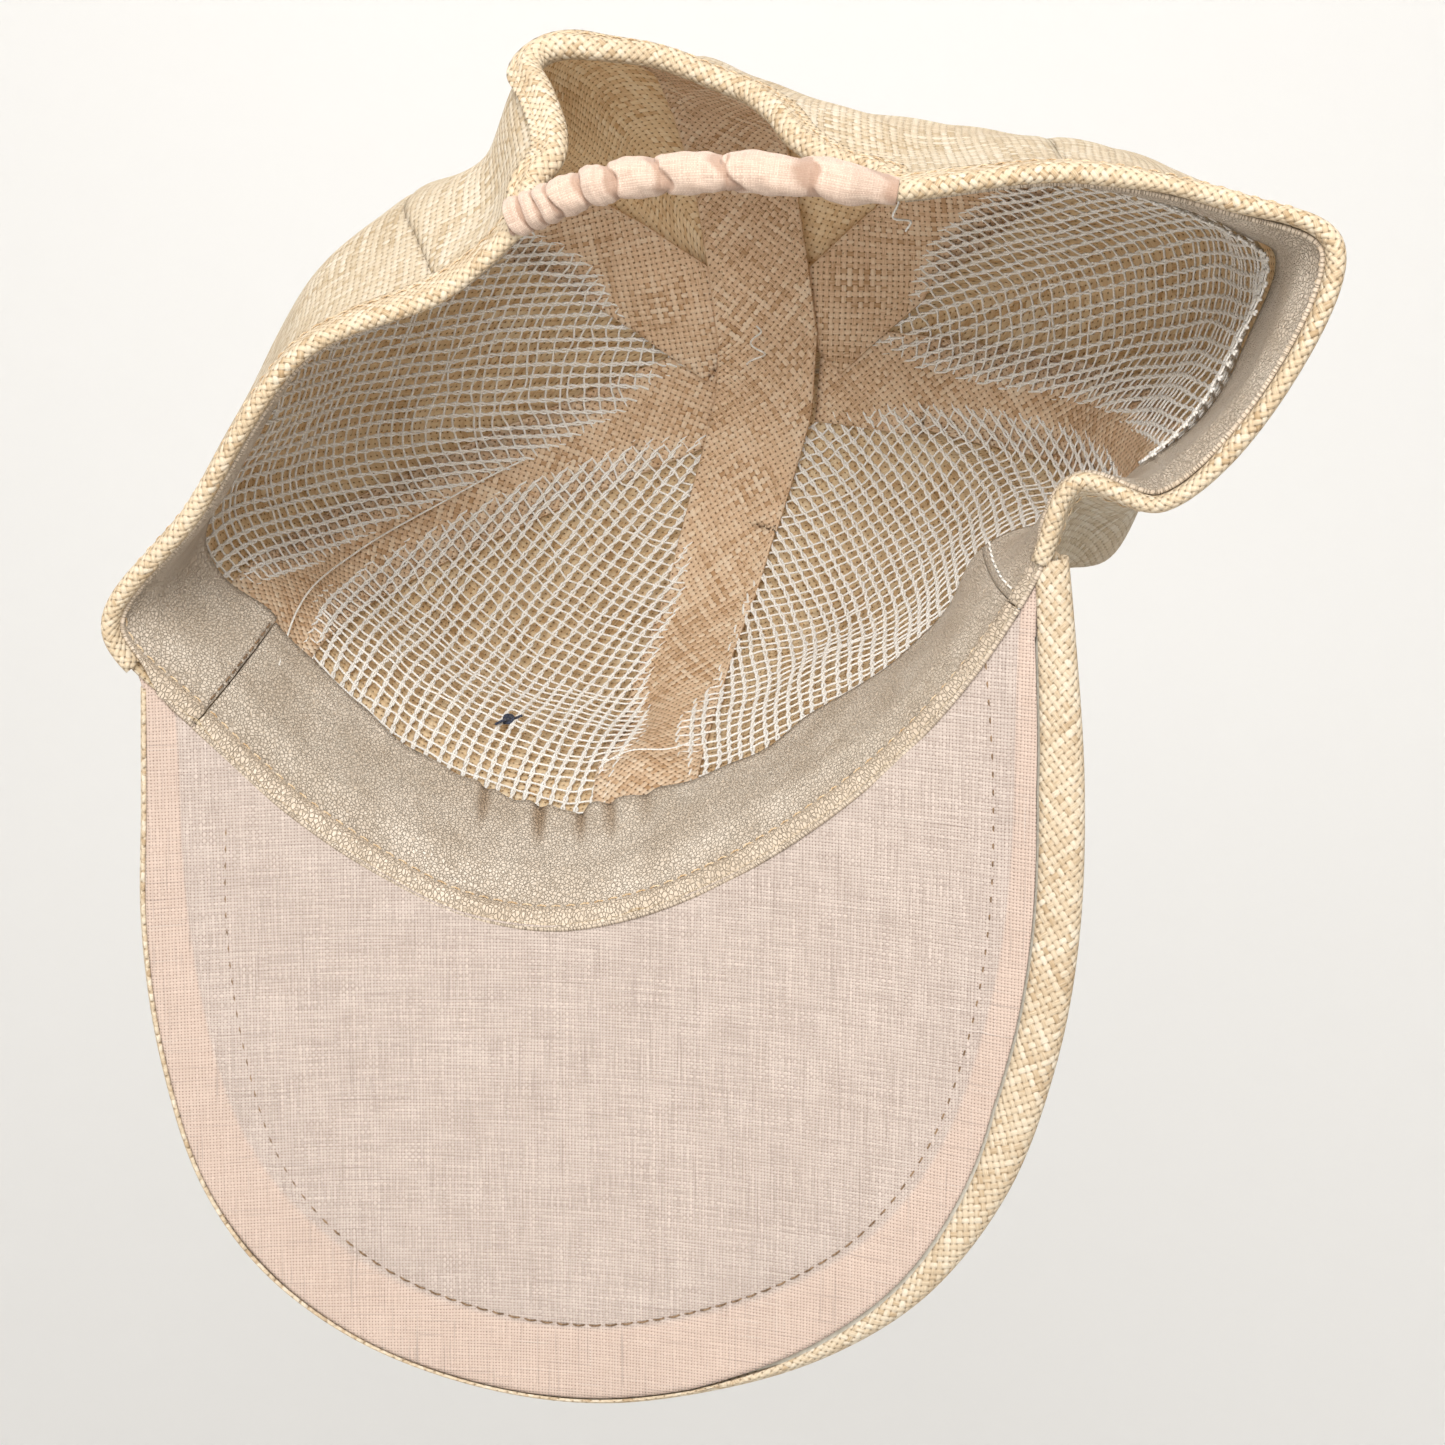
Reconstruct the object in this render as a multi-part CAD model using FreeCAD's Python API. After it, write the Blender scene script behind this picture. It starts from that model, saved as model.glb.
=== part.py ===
import FreeCAD, Part
import math
import os

# Six-panel straw peaked cap, relaxed and half flattened from front to back.
# Millimetres, +Z towards the crown's top, -Y towards the visor, +X towards the wearer's left.
# The origin is the middle of the head opening.

Vector = FreeCAD.Vector
FORWARD = 1  # both edges of a ruled face run the same way

# Crown
CROWN_HEIGHT = 112.0
SHOULDER_HEIGHT = 42.0
APEX_X = 1.0
APEX_Y = 6.0
DOME_POWER = 2.5
FOLD_FADE = 0.72
APEX_HOLE = 5.0

# Cloth and straw thicknesses, and the gap that keeps neighbouring layers apart
STRAW = 0.8
NET = 0.4
LEATHERETTE = 1.0
LINEN = 0.5
BOARD = 1.6
LAYER_GAP = 0.3
SEAM_GAP = 0.2

# Inner trim
TAPE_WIDTH = 22.0
TAPE_START = 8.0
FRONT_TAPE_STOP = 11.0
BACK_TAPE_STOP = 28.0
FLAT_TOP = 36.0
TAPE_SHARES = [i / 10 - 0.5 for i in range(11)]
SWEATBAND_LOW = 1.5
SWEATBAND_HIGH = 33.0
BINDING_LEG = 6.0

# Back opening
CASING_WIDTH = 10.0
CASING_DEPTH = 7.0
ELASTIC_WIDTH = 6.5
ELASTIC_THICKNESS = 1.2
CASING_LEFT = Vector(31.2, 52.5, 9.0)
CASING_MIDDLE = Vector(1.0, 59.0, 8.5)
CASING_RIGHT = Vector(-28.4, 57.4, 9.0)

# Visor
VISOR_TOP_Z = 7.0
VISOR_MIDDLE_X = 28.0
VISOR_ARCH = 0.0016
VISOR_DROOP = 0.22
VISOR_GAP = 1.2
VISOR_EDGE = 1.2

# The crown's wall: each station gives a point of the rim (x, y, z) and the wall's place (x, y) at
# shoulder height, from the front's middle round by the wearer's left.
STATIONS = [
    ((13, -79, 2), (17, -64)),     # 0 front centre
    ((30, -83, 2), (32, -68)),
    ((48, -81, 2), (48, -66)),
    ((63, -74, 2), (63, -60)),
    ((81, -62, 2), (79, -50)),
    ((99, -45, 2), (95, -34)),     # 5 front-left seam
    ((114, -26, 0), (107, -14)),   # 6 left fold
    ((97, -4, 2), (99, 8)),
    ((74, 27, 4), (84, 34)),
    ((48, 38, 6), (65, 50)),       # 9 back-left seam
    ((40, 44, 7), (47, 57)),
    ((31, 51, 8), (38, 77)),       # 11 elastic's left end
    ((2, 55, 9), (10, 76)),        # 12 back centre
    ((-31, 57, 8), (-26, 65)),     # 13 elastic's right end
    ((-63, 61, 7), (-58, 63)),     # 14 back-right seam
    ((-90, 57, 4), (-84, 56)),
    ((-106, 51, 0), (-100, 46)),   # 16 right fold
    ((-99, 27, -2), (-97, 21)),
    ((-81, 6, -1), (-81, 0)),      # 18 front-right seam
    ((-66, 8, 4), (-73, -16)),     # 19 kink beside the visor's right end
    ((-60, -9, 5), (-62, -20)),
    ((-50, -27, 4), (-49, -31)),
    ((-37, -44, 4), (-34, -43)),
    ((-22, -58, 3), (-17, -52)),
    ((-4, -71, 3), (1, -60)),
]
ROUND = len(STATIONS)
FRONT_CENTRE = 0
SEAM_FRONT_LEFT = 5
SEAM_BACK_LEFT = 9
ELASTIC_LEFT = 11
BACK_CENTRE = 12
ELASTIC_RIGHT = 13
SEAM_BACK_RIGHT = 14
SEAM_FRONT_RIGHT = 18
VISOR_LEFT_END = 5.55
VISOR_RIGHT_END = 19.75
BAND_LEFT_JOIN = 5.0
BAND_RIGHT_JOIN = 20.0

ARCH_TOP = 41.0
# Edge of the half-moon opening on the back wall: (station, height up the wall)
ARCH = [
    (11.02, 9), (11.18, 13.5), (11.21, 20), (11.13, 30), (11.03, 38.5), (11.12, ARCH_TOP),
    (11.45, 40), (11.85, ARCH_TOP), (12.27, 37), (12.45, 29), (12.56, 20), (12.75, 13.5), (12.98, 9),
]

# Outline of the visor's outer edge (x, y), from its left end round the front to its right end
VISOR_OUTLINE = [
    (109, -38), (109, -60), (109, -84), (105.5, -110), (97.5, -136), (85, -154), (66, -168),
    (42, -176), (18, -177), (-7, -170.5), (-28, -160), (-46, -144.5), (-60, -122), (-67.5, -97),
    (-70.5, -73), (-70, -46), (-67, -20), (-65, -6),
]
# Edge of the lining on the underside, which the straw hem overlaps on the wearer's right
LINING_OUTLINE = [
    (107, -41), (107, -60), (107, -84), (103.5, -109), (95.5, -135), (83.5, -152), (65, -166),
    (41, -174), (18, -174.5), (-7, -167), (-25, -156), (-42, -142), (-54.5, -120), (-60, -96),
    (-61.5, -72), (-61, -46), (-60, -24),
]


def spline_between(before, start, end, after, share):
    """Point of the centripetal Catmull-Rom span from start to end."""
    points = (before, start, end, after)
    knots = [0.0]
    for first, second in zip(points, points[1:]):
        knots.append(knots[-1] + max(1e-3, (second - first).Length ** 0.5))
    at = knots[1] + (knots[2] - knots[1]) * share
    level = list(points)
    for depth in (1, 2, 3):
        blended = []
        for i in range(len(level) - 1):
            low = knots[i] if depth < 3 else knots[1]
            high = knots[i + depth] if depth < 3 else knots[2]
            blended.append(level[i] * ((high - at) / (high - low))
                           + level[i + 1] * ((at - low) / (high - low)))
        level = blended
    return level[0]


def closed_spline(points, station):
    count = len(points)
    index = math.floor(station)
    around = [points[(index + step) % count] for step in (-1, 0, 1, 2)]
    return spline_between(*around, station - index)


def open_spline(points, share):
    """Point at a share (0 to 1) of the spline through the points, by point number."""
    place = min(share, 0.999999) * (len(points) - 1)
    index = int(place)
    before = points[index - 1] if index else points[0] * 2 - points[1]
    after = points[index + 2] if index + 2 < len(points) else points[-1] * 2 - points[-2]
    return spline_between(before, points[index], points[index + 1], after, place - index)


RIM = [Vector(*rim) for rim, shoulder in STATIONS]
SHOULDER = [Vector(*shoulder, SHOULDER_HEIGHT) for rim, shoulder in STATIONS]
MERIDIANS = {}
RADII = {}


def shoulder_radius(station):
    shoulder = closed_spline(SHOULDER, station)
    return math.hypot(shoulder.x - APEX_X, shoulder.y - APEX_Y)


def dome_radii(station):
    """Distance from the apex's axis to the wall at the shoulder, sharp and with folds faded out."""
    key = round(station, 6)
    if key not in RADII:
        spread = [shoulder_radius(station + step / 2) for step in range(-3, 4)]
        RADII[key] = (shoulder_radius(station), sum(spread) / len(spread))
    return RADII[key]


def dome_radius(station, reach):
    """Distance from the apex's axis at a share of the way out; folds fade towards the top."""
    sharp, soft = dome_radii(station)
    share = min(1.0, max(0.0, (reach - FOLD_FADE) / (1 - FOLD_FADE)))
    share = share * share * (3 - 2 * share)
    return reach * (soft + (sharp - soft) * share)


def dome_rise(reach):
    """Height of the dome's outer face at a share of the way out."""
    share = max(0.0, 1 - reach ** DOME_POWER) ** (1 / DOME_POWER)
    return SHOULDER_HEIGHT + (CROWN_HEIGHT - SHOULDER_HEIGHT) * share


def dome_point(station, reach):
    """Point of the dome above the shoulder; reach is 1 at the shoulder and 0 at the apex."""
    shoulder = closed_spline(SHOULDER, station)
    away = dome_radius(station, reach) / shoulder_radius(station)
    return Vector(APEX_X + (shoulder.x - APEX_X) * away, APEX_Y + (shoulder.y - APEX_Y) * away,
                  dome_rise(reach))


def meridian(station):
    """Points from the rim up to the apex at one station, and the lengths between them."""
    key = round(station, 6)
    if key not in MERIDIANS:
        rim = closed_spline(RIM, station)
        shoulder = closed_spline(SHOULDER, station)
        points = [rim, (rim + shoulder) * 0.5, shoulder]
        for degrees in (22, 42, 60, 75, 85, 90):
            reach = max(0.0, math.cos(math.radians(degrees))) ** (2 / DOME_POWER)
            points.append(dome_point(station, reach))
        lengths = [(b - a).Length for a, b in zip(points, points[1:])]
        MERIDIANS[key] = (points, lengths)
    return MERIDIANS[key]


def wall_length(station):
    return sum(meridian(station)[1])


def wall_point(station, height):
    """Point of the crown's outer face, height millimetres up the wall from the rim."""
    points, lengths = meridian(station)
    index = 0
    while index < len(lengths) - 1 and height > lengths[index]:
        height -= lengths[index]
        index += 1
    before = points[index - 1] if index else points[0] * 2 - points[1]
    after = points[index + 2] if index + 2 < len(points) else points[-1] * 2 - points[-2]
    return spline_between(before, points[index], points[index + 1], after, height / lengths[index])


def wall_normal(station, height):
    """Unit normal of the wall, pointing into the crown."""
    along = wall_point(station + 0.02, height) - wall_point(station - 0.02, height)
    up = wall_point(station, height + 0.5) - wall_point(station, max(0.0, height - 0.5))
    return up.cross(along).normalize()


def layered(station, height, depth):
    """Point depth millimetres inside the crown's outer face."""
    return wall_point(station, height) + wall_normal(station, height) * depth


def spline_surface(grid):
    surface = Part.BSplineSurface()
    surface.interpolate(grid)
    return surface


def edge_through(points):
    curve = Part.BSplineCurve()
    curve.interpolate(points)
    return curve.toShape()


def surface_borders(surface):
    first_u, last_u, first_v, last_v = surface.bounds()
    return [surface.uIso(first_u).toShape(), surface.uIso(last_u).toShape(),
            surface.vIso(first_v).toShape(), surface.vIso(last_v).toShape()]


def sheet_solid(outer, inner):
    """Closed solid between two grids of points, with ruled edges."""
    surfaces = [spline_surface(outer), spline_surface(inner)]
    faces = [surface.toShape() for surface in surfaces]
    for low, high in zip(*(surface_borders(surface) for surface in surfaces)):
        faces.append(Part.makeRuledSurface(low, high, FORWARD))
    shell = Part.makeShell(faces)
    shell.sewShape()
    solid = Part.makeSolid(shell)
    if solid.Volume < 0:
        solid.reverse()
    return solid


def wall_sheet(first, last, low, high, depth, thickness, per_station=8, rows=34):
    """Piece of a layer between two stations. low and high are heights as functions of station."""
    columns = max(6, int((last - first) * per_station) + 1)
    grids = []
    for reach in (depth, depth + thickness):
        grid = []
        for i in range(columns):
            station = first + (last - first) * i / (columns - 1)
            base = low(station)
            rise = high(station) - base
            grid.append([layered(station, base + rise * j / (rows - 1), reach) for j in range(rows)])
        grids.append(grid)
    return sheet_solid(*grids)


def seam_inset(station):
    """Station step that leaves half a seam gap along the rim."""
    step = (wall_point(station + 0.05, 20) - wall_point(station - 0.05, 20)).Length / 0.1
    return 0.5 * SEAM_GAP / step


def panel(first, last):
    """One straw panel, from the rim to the hole under the button."""
    return wall_sheet(first + seam_inset(first), last - seam_inset(last), lambda station: 0.0,
                      lambda station: wall_length(station) - APEX_HOLE, 0.0, STRAW)


NET_DEPTH = STRAW + LAYER_GAP
SIDE_TAPE_DEPTH = NET_DEPTH + NET + LAYER_GAP
CENTRE_TAPE_DEPTH = SIDE_TAPE_DEPTH + STRAW + LAYER_GAP
SWEATBAND_DEPTH = CENTRE_TAPE_DEPTH + STRAW + LAYER_GAP


def lining_net(first, last):
    return wall_sheet(first + 2 * seam_inset(first), last - 2 * seam_inset(last),
                      lambda station: TAPE_START, lambda station: wall_length(station) - 14.0,
                      NET_DEPTH, NET)


def sweatband(first, last):
    return wall_sheet(first + 2 * seam_inset(first), last - 2 * seam_inset(last),
                      lambda station: SWEATBAND_LOW, lambda station: SWEATBAND_HIGH,
                      SWEATBAND_DEPTH, LEATHERETTE, rows=6)


def station_towards(x, y):
    """Station whose shoulder point lies in the direction of (x, y) from the apex."""
    wanted = math.atan2(y - APEX_Y, x - APEX_X)

    def miss(station):
        point = closed_spline(SHOULDER, station)
        turn = math.atan2(point.y - APEX_Y, point.x - APEX_X) - wanted
        return (turn + math.pi) % (2 * math.pi) - math.pi

    low = min((i / 2 for i in range(2 * ROUND)), key=lambda station: abs(miss(station))) - 0.5
    high = low + 1.0
    for _ in range(30):
        middle = (low + high) / 2
        if miss(middle) < 0:
            low = middle
        else:
            high = middle
    return (low + high) / 2


def dome_height(x, y):
    """Height of the dome's outer face over (x, y)."""
    away = math.hypot(x - APEX_X, y - APEX_Y)
    if away < 0.01:
        return CROWN_HEIGHT
    station = station_towards(x, y)
    low, high = 0.0, 1.0
    for _ in range(24):
        middle = (low + high) / 2
        if dome_radius(station, middle) < away:
            low = middle
        else:
            high = middle
    return dome_rise(low)


def dome_layered(x, y, depth):
    step = 1.0
    slope_x = (dome_height(x + step, y) - dome_height(x - step, y)) / (2 * step)
    slope_y = (dome_height(x, y + step) - dome_height(x, y - step)) / (2 * step)
    inward = Vector(slope_x, slope_y, -1).normalize()
    return Vector(x, y, dome_height(x, y)) + inward * depth


def station_beside(station, height, centre, distance):
    """Station where the wall at this height is a distance from a centre; negative goes back."""
    near, far = 0.0, 3.0
    for _ in range(20):
        middle = (near + far) / 2
        there = wall_point(station + math.copysign(middle, distance), height)
        if (there - centre).Length < abs(distance):
            near = middle
        else:
            far = middle
    return station + math.copysign(near, distance)


def tape_row(station, height, depth):
    """Points across a tape that runs up a seam, square to the seam."""
    centre = wall_point(station, height)
    up = (wall_point(station, height + 1) - wall_point(station, height - 1)).normalize()
    row = []
    for share in TAPE_SHARES:
        beside, level = station, height
        if share:
            for _ in range(4):
                beside = station_beside(station, level, centre, share * TAPE_WIDTH)
                level -= (wall_point(beside, level) - centre).dot(up)
        row.append(layered(beside, level, depth))
    return row


def dome_row(point, across, depth):
    """Points across a tape on the dome; across is the level direction over its width."""
    return [dome_layered(point.x + across.x * share * TAPE_WIDTH,
                         point.y + across.y * share * TAPE_WIDTH, depth)
            for share in TAPE_SHARES]


def level_across(station):
    """Level direction square to a station's line over the dome."""
    shoulder = closed_spline(SHOULDER, station)
    inward = Vector(APEX_X - shoulder.x, APEX_Y - shoulder.y, 0).normalize()
    return Vector(inward.y, -inward.x, 0)


def rising_rows(station, depth, low, stop):
    """Rows of a tape from a height up its seam to a distance from the apex."""
    rows = []
    turn = wall_length(station) - FLAT_TOP
    steps = 28
    for i in range(steps + 1):
        rows.append(tape_row(station, low + (turn - low) * i / steps, depth))
    top = wall_length(station) - stop
    steps = 6
    for i in range(1, steps + 1):
        point = wall_point(station, turn + (top - turn) * i / steps)
        rows.append(dome_row(point, level_across(station), depth))
    return rows


def side_tape(station, stop):
    """Seam tape from the rim to its end a distance short of the apex."""
    return sheet_solid(*(rising_rows(station, depth, TAPE_START, stop)
                         for depth in (SIDE_TAPE_DEPTH, SIDE_TAPE_DEPTH + STRAW)))


def centre_tape():
    """Long tape from the front rim over the apex to the back opening."""
    grids = []
    for depth in (CENTRE_TAPE_DEPTH, CENTRE_TAPE_DEPTH + STRAW):
        rows = rising_rows(FRONT_CENTRE, depth, TAPE_START, 12.0)
        across = level_across(FRONT_CENTRE) - level_across(BACK_CENTRE)
        rows.append(dome_row(Vector(APEX_X, APEX_Y, 0), across.normalize(), depth))
        back = rising_rows(BACK_CENTRE, depth, ARCH_TOP + 8.0, 12.0)
        rows.extend(row[::-1] for row in reversed(back))
        grids.append(rows)
    return sheet_solid(*grids)


def channel(frames, leg, inner_depth):
    """Folded binding: a U section carried along an edge.

    Each frame is the edge's point, the direction into the crown, and the direction away from
    the edge up the cloth.
    """
    web = STRAW
    gap = 0.15
    inner = inner_depth
    section = [
        (-gap - STRAW, leg), (-gap - STRAW, -gap - web), (inner + STRAW, -gap - web),
        (inner + STRAW, leg), (inner, leg), (inner, -gap), (-gap, -gap), (-gap, leg),
    ]
    wires = []
    for point, inward, away in frames:
        corners = [point + inward * a + away * b for a, b in section]
        wires.append(Part.makePolygon(corners + corners[:1]))
    return Part.makeLoft(wires, True, True)


def rim_binding(first, last):
    frames = []
    count = int(abs(last - first) * 10) + 1
    for i in range(count):
        station = first + (last - first) * i / (count - 1)
        inward = wall_normal(station, 1.0)
        up = (wall_point(station, 6.0) - wall_point(station, 0.0)).normalize()
        frames.append((wall_point(station, 0.0), inward, up))
    return channel(frames, BINDING_LEG, STRAW + LAYER_GAP)


def arch_path(share):
    """Station and height of the half-moon's edge at a share of its length."""
    place = open_spline([Vector(station * 10, height, 0) for station, height in ARCH], share)
    return place.x / 10, place.y


def arch_binding():
    frames = []
    count = 41
    for i in range(count):
        share = i / (count - 1)
        here = wall_point(*arch_path(share))
        ahead = wall_point(*arch_path(min(1.0, share + 0.01)))
        behind = wall_point(*arch_path(max(0.0, share - 0.01)))
        inward = wall_normal(*arch_path(share))
        along = (ahead - behind).normalize()
        away = along.cross(inward).normalize()
        frames.append((here, inward, away))
    return channel(frames, BINDING_LEG - 1.0, STRAW + LAYER_GAP)


def arch_cutter():
    """Block that cuts the half-moon out of the back panels, straight through along Y."""
    edge = [wall_point(*arch_path(i / 36)) for i in range(37)]
    flat = [Vector(point.x, 0, point.z) for point in edge]
    start = flat[0] + Vector(0, 0, -15)
    end = flat[-1] + Vector(0, 0, -15)
    wire = Part.Wire([Part.makeLine(start, flat[0]), edge_through(flat), Part.makeLine(flat[-1], end),
                      Part.makeLine(end, start)])
    wire.translate(Vector(0, 42, 0))
    return Part.Face(wire).extrude(Vector(0, 60, 0))


def casing_path():
    return Part.Arc(CASING_LEFT, CASING_MIDDLE, CASING_RIGHT).toShape()


def swept(path, width, depth):
    """Flat rounded bar along the path, width up and depth across."""
    start = path.valueAt(path.FirstParameter)
    along = path.tangentAt(path.FirstParameter)
    across = along.cross(Vector(0, 0, 1)).normalize()
    up = across.cross(along)
    corner = min(width, depth) * 0.45
    half_w = width / 2
    half_d = depth / 2

    def at(a, b):
        return start + across * a + up * b

    edges = []
    bend = corner * (1 - math.sqrt(0.5))
    for side_a, side_b in ((1, 1), (-1, 1), (-1, -1), (1, -1)):
        first = (side_a * half_d, side_b * (half_w - corner))
        second = (side_a * (half_d - corner), side_b * half_w)
        if side_a * side_b < 0:
            first, second = second, first
        middle = (side_a * (half_d - bend), side_b * (half_w - bend))
        edges.append(Part.Arc(at(*first), at(*middle), at(*second)).toShape())
    ring = []
    for edge, following in zip(edges, edges[1:] + edges[:1]):
        ring.append(edge)
        end = edge.valueAt(edge.LastParameter)
        begin = following.valueAt(following.FirstParameter)
        ring.append(Part.makeLine(end, begin))
    profile = Part.Wire(ring)
    return Part.Wire([path]).makePipeShell([profile], True, True)


def visor_height(x, y):
    """Height of the visor's underside: arched from side to side, drooping to the front."""
    return VISOR_TOP_Z - VISOR_ARCH * (x - VISOR_MIDDLE_X) ** 2 + VISOR_DROOP * (y + 60)


def visor_slab(low, high):
    """Arched layer of the visor between two heights above its underside."""
    back_y = 20.0
    forward = Vector(0, -220, -220 * VISOR_DROOP)
    xs = [-80 + i * 10 for i in range(21)]

    def arc(lift):
        return [Vector(x, back_y, visor_height(x, back_y) + lift) for x in xs]

    bottom = arc(low)
    top = arc(high)
    wire = Part.Wire([edge_through(bottom), Part.makeLine(bottom[-1], top[-1]),
                      edge_through(top[::-1]), Part.makeLine(top[0], bottom[0])])
    return Part.Face(wire).extrude(forward)


def brow_line(gap):
    """Points along the brow seam, a gap in front of the crown's wall, right end to left end."""
    points = []
    last = VISOR_LEFT_END + ROUND
    count = 26
    for i in range(count):
        share = i / (count - 1)
        station = VISOR_RIGHT_END + (last - VISOR_RIGHT_END) * share
        outward = wall_normal(station, 2.0) * -1
        outward.z = 0
        extra = 1.6 * max(0.0, 1 - share / 0.15)
        point = wall_point(station, 2.0) + outward.normalize() * (gap + extra)
        points.append(Vector(point.x, point.y, 0))
    return points


def visor_prism(outline, gap):
    """Upright block with the visor's plan shape."""
    front = [Vector(x, y, 0) for x, y in outline]
    brow = brow_line(gap)
    brow = [point for point in brow
            if front[-1].x + 0.8 < point.x < front[0].x - 0.8]
    wire = Part.Wire([edge_through(front), Part.makeLine(front[-1], brow[0]), edge_through(brow),
                      Part.makeLine(brow[-1], front[0])])
    wire.translate(Vector(0, 0, -60))
    return Part.Face(wire).extrude(Vector(0, 0, 120))


def inset(outline, margin):
    """Outline moved inwards; it runs clockwise seen from above, front to the south."""
    moved = []
    for i, (x, y) in enumerate(outline):
        before = outline[max(0, i - 1)]
        after = outline[min(len(outline) - 1, i + 1)]
        along = (after[0] - before[0], after[1] - before[1])
        length = math.hypot(*along)
        moved.append((x + along[1] / length * margin, y - along[0] / length * margin))
    return moved


def visor_parts():
    """Straw top cover with its turned edge, stiffening board, and lining."""
    board_low = LINEN + LAYER_GAP
    board_high = board_low + BOARD
    total = board_high + LAYER_GAP + STRAW
    board = visor_slab(board_low, board_high).common(
        visor_prism(inset(VISOR_OUTLINE, VISOR_EDGE + LAYER_GAP), VISOR_GAP + 0.4))
    lining = visor_slab(0, LINEN).common(visor_prism(LINING_OUTLINE, VISOR_GAP + 0.2))
    room = visor_slab(board_low - LAYER_GAP / 2, board_high + LAYER_GAP).common(
        visor_prism(inset(VISOR_OUTLINE, VISOR_EDGE), VISOR_GAP - 3))
    below = visor_slab(-5, board_low - LAYER_GAP / 4).common(
        visor_prism(inset(LINING_OUTLINE, -LAYER_GAP), VISOR_GAP - 3))
    cover = visor_slab(0, total).common(visor_prism(VISOR_OUTLINE, VISOR_GAP))
    cover = cover.cut(room).cut(below)
    return cover, board, lining


def crown_button():
    """Covered button: a low dome on a short shank through the hole at the apex."""
    radius = 7.5
    rise = 3.6
    base = Vector(APEX_X, APEX_Y, CROWN_HEIGHT + 0.3)
    up = Vector(0, 0, 1)
    ball = (radius ** 2 + rise ** 2) / (2 * rise)
    level = math.degrees(math.asin((ball - rise) / ball))
    dome = Part.makeSphere(ball, base - up * (ball - rise), up, level, 90, 360)
    shank = Part.makeCylinder(1.8, 3.2, base - up * 2.2, up)
    return dome.fuse(shank)


def crown_panels():
    cutter = arch_cutter()
    return {
        "crown_front_left": panel(FRONT_CENTRE, SEAM_FRONT_LEFT),
        "crown_side_left": panel(SEAM_FRONT_LEFT, SEAM_BACK_LEFT),
        "crown_back_left": panel(SEAM_BACK_LEFT, BACK_CENTRE).cut(cutter),
        "crown_back_right": panel(BACK_CENTRE, SEAM_BACK_RIGHT).cut(cutter),
        "crown_side_right": panel(SEAM_BACK_RIGHT, SEAM_FRONT_RIGHT),
        "crown_front_right": panel(SEAM_FRONT_RIGHT, ROUND),
    }


def inner_trim():
    return {
        "net_front_left": lining_net(FRONT_CENTRE, SEAM_FRONT_LEFT),
        "net_side_left": lining_net(SEAM_FRONT_LEFT, SEAM_BACK_LEFT),
        "net_side_right": lining_net(SEAM_BACK_RIGHT, SEAM_FRONT_RIGHT),
        "net_front_right": lining_net(SEAM_FRONT_RIGHT, ROUND),
        "tape_front_left": side_tape(SEAM_FRONT_LEFT, FRONT_TAPE_STOP),
        "tape_back_left": side_tape(SEAM_BACK_LEFT, BACK_TAPE_STOP),
        "tape_back_right": side_tape(SEAM_BACK_RIGHT, BACK_TAPE_STOP),
        "tape_front_right": side_tape(SEAM_FRONT_RIGHT, FRONT_TAPE_STOP),
        "tape_centre": centre_tape(),
        "sweatband_front": sweatband(BAND_RIGHT_JOIN, ROUND + BAND_LEFT_JOIN),
        "sweatband_left": sweatband(BAND_LEFT_JOIN, ELASTIC_LEFT - 0.1),
        "sweatband_right": sweatband(ELASTIC_RIGHT + 0.1, BAND_RIGHT_JOIN),
    }


def edges_and_back():
    path = casing_path()
    casing = swept(path, CASING_WIDTH, CASING_DEPTH)
    room = swept(path, ELASTIC_WIDTH + 0.6, ELASTIC_THICKNESS + 0.6)
    return {
        "rim_binding_left": rim_binding(VISOR_LEFT_END + 0.15, ELASTIC_LEFT - 0.1),
        "rim_binding_right": rim_binding(VISOR_RIGHT_END - 0.15, ELASTIC_RIGHT + 0.05),
        "arch_binding": arch_binding(),
        "elastic_casing": casing.cut(room),
        "elastic_core": swept(path, ELASTIC_WIDTH, ELASTIC_THICKNESS),
    }


def visor():
    cover, board, lining = visor_parts()
    return {"visor_top_cover": cover, "visor_board": board, "visor_under_cover": lining}


def main():
    os.makedirs("parts", exist_ok=True)
    nodes = {}
    nodes.update(crown_panels())
    nodes.update(inner_trim())
    nodes.update(edges_and_back())
    nodes.update(visor())
    nodes["crown_button"] = crown_button()
    for name, shape in nodes.items():
        solid = shape.Solids[0] if len(shape.Solids) == 1 else shape
        box = solid.BoundBox
        print(f"{name:20} solids {len(shape.Solids)} valid {solid.isValid()} volume {solid.Volume:9.0f}"
              f"  x {box.XMin:6.1f} {box.XMax:6.1f}  y {box.YMin:6.1f} {box.YMax:6.1f}"
              f"  z {box.ZMin:6.1f} {box.ZMax:6.1f}")
        solid.exportStep(os.path.join("parts", name + ".step"))


main()
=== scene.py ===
import logging
import math
from dataclasses import dataclass, field
from enum import Enum

import bpy
import numpy as np
from mathutils import Matrix, Vector


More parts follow.
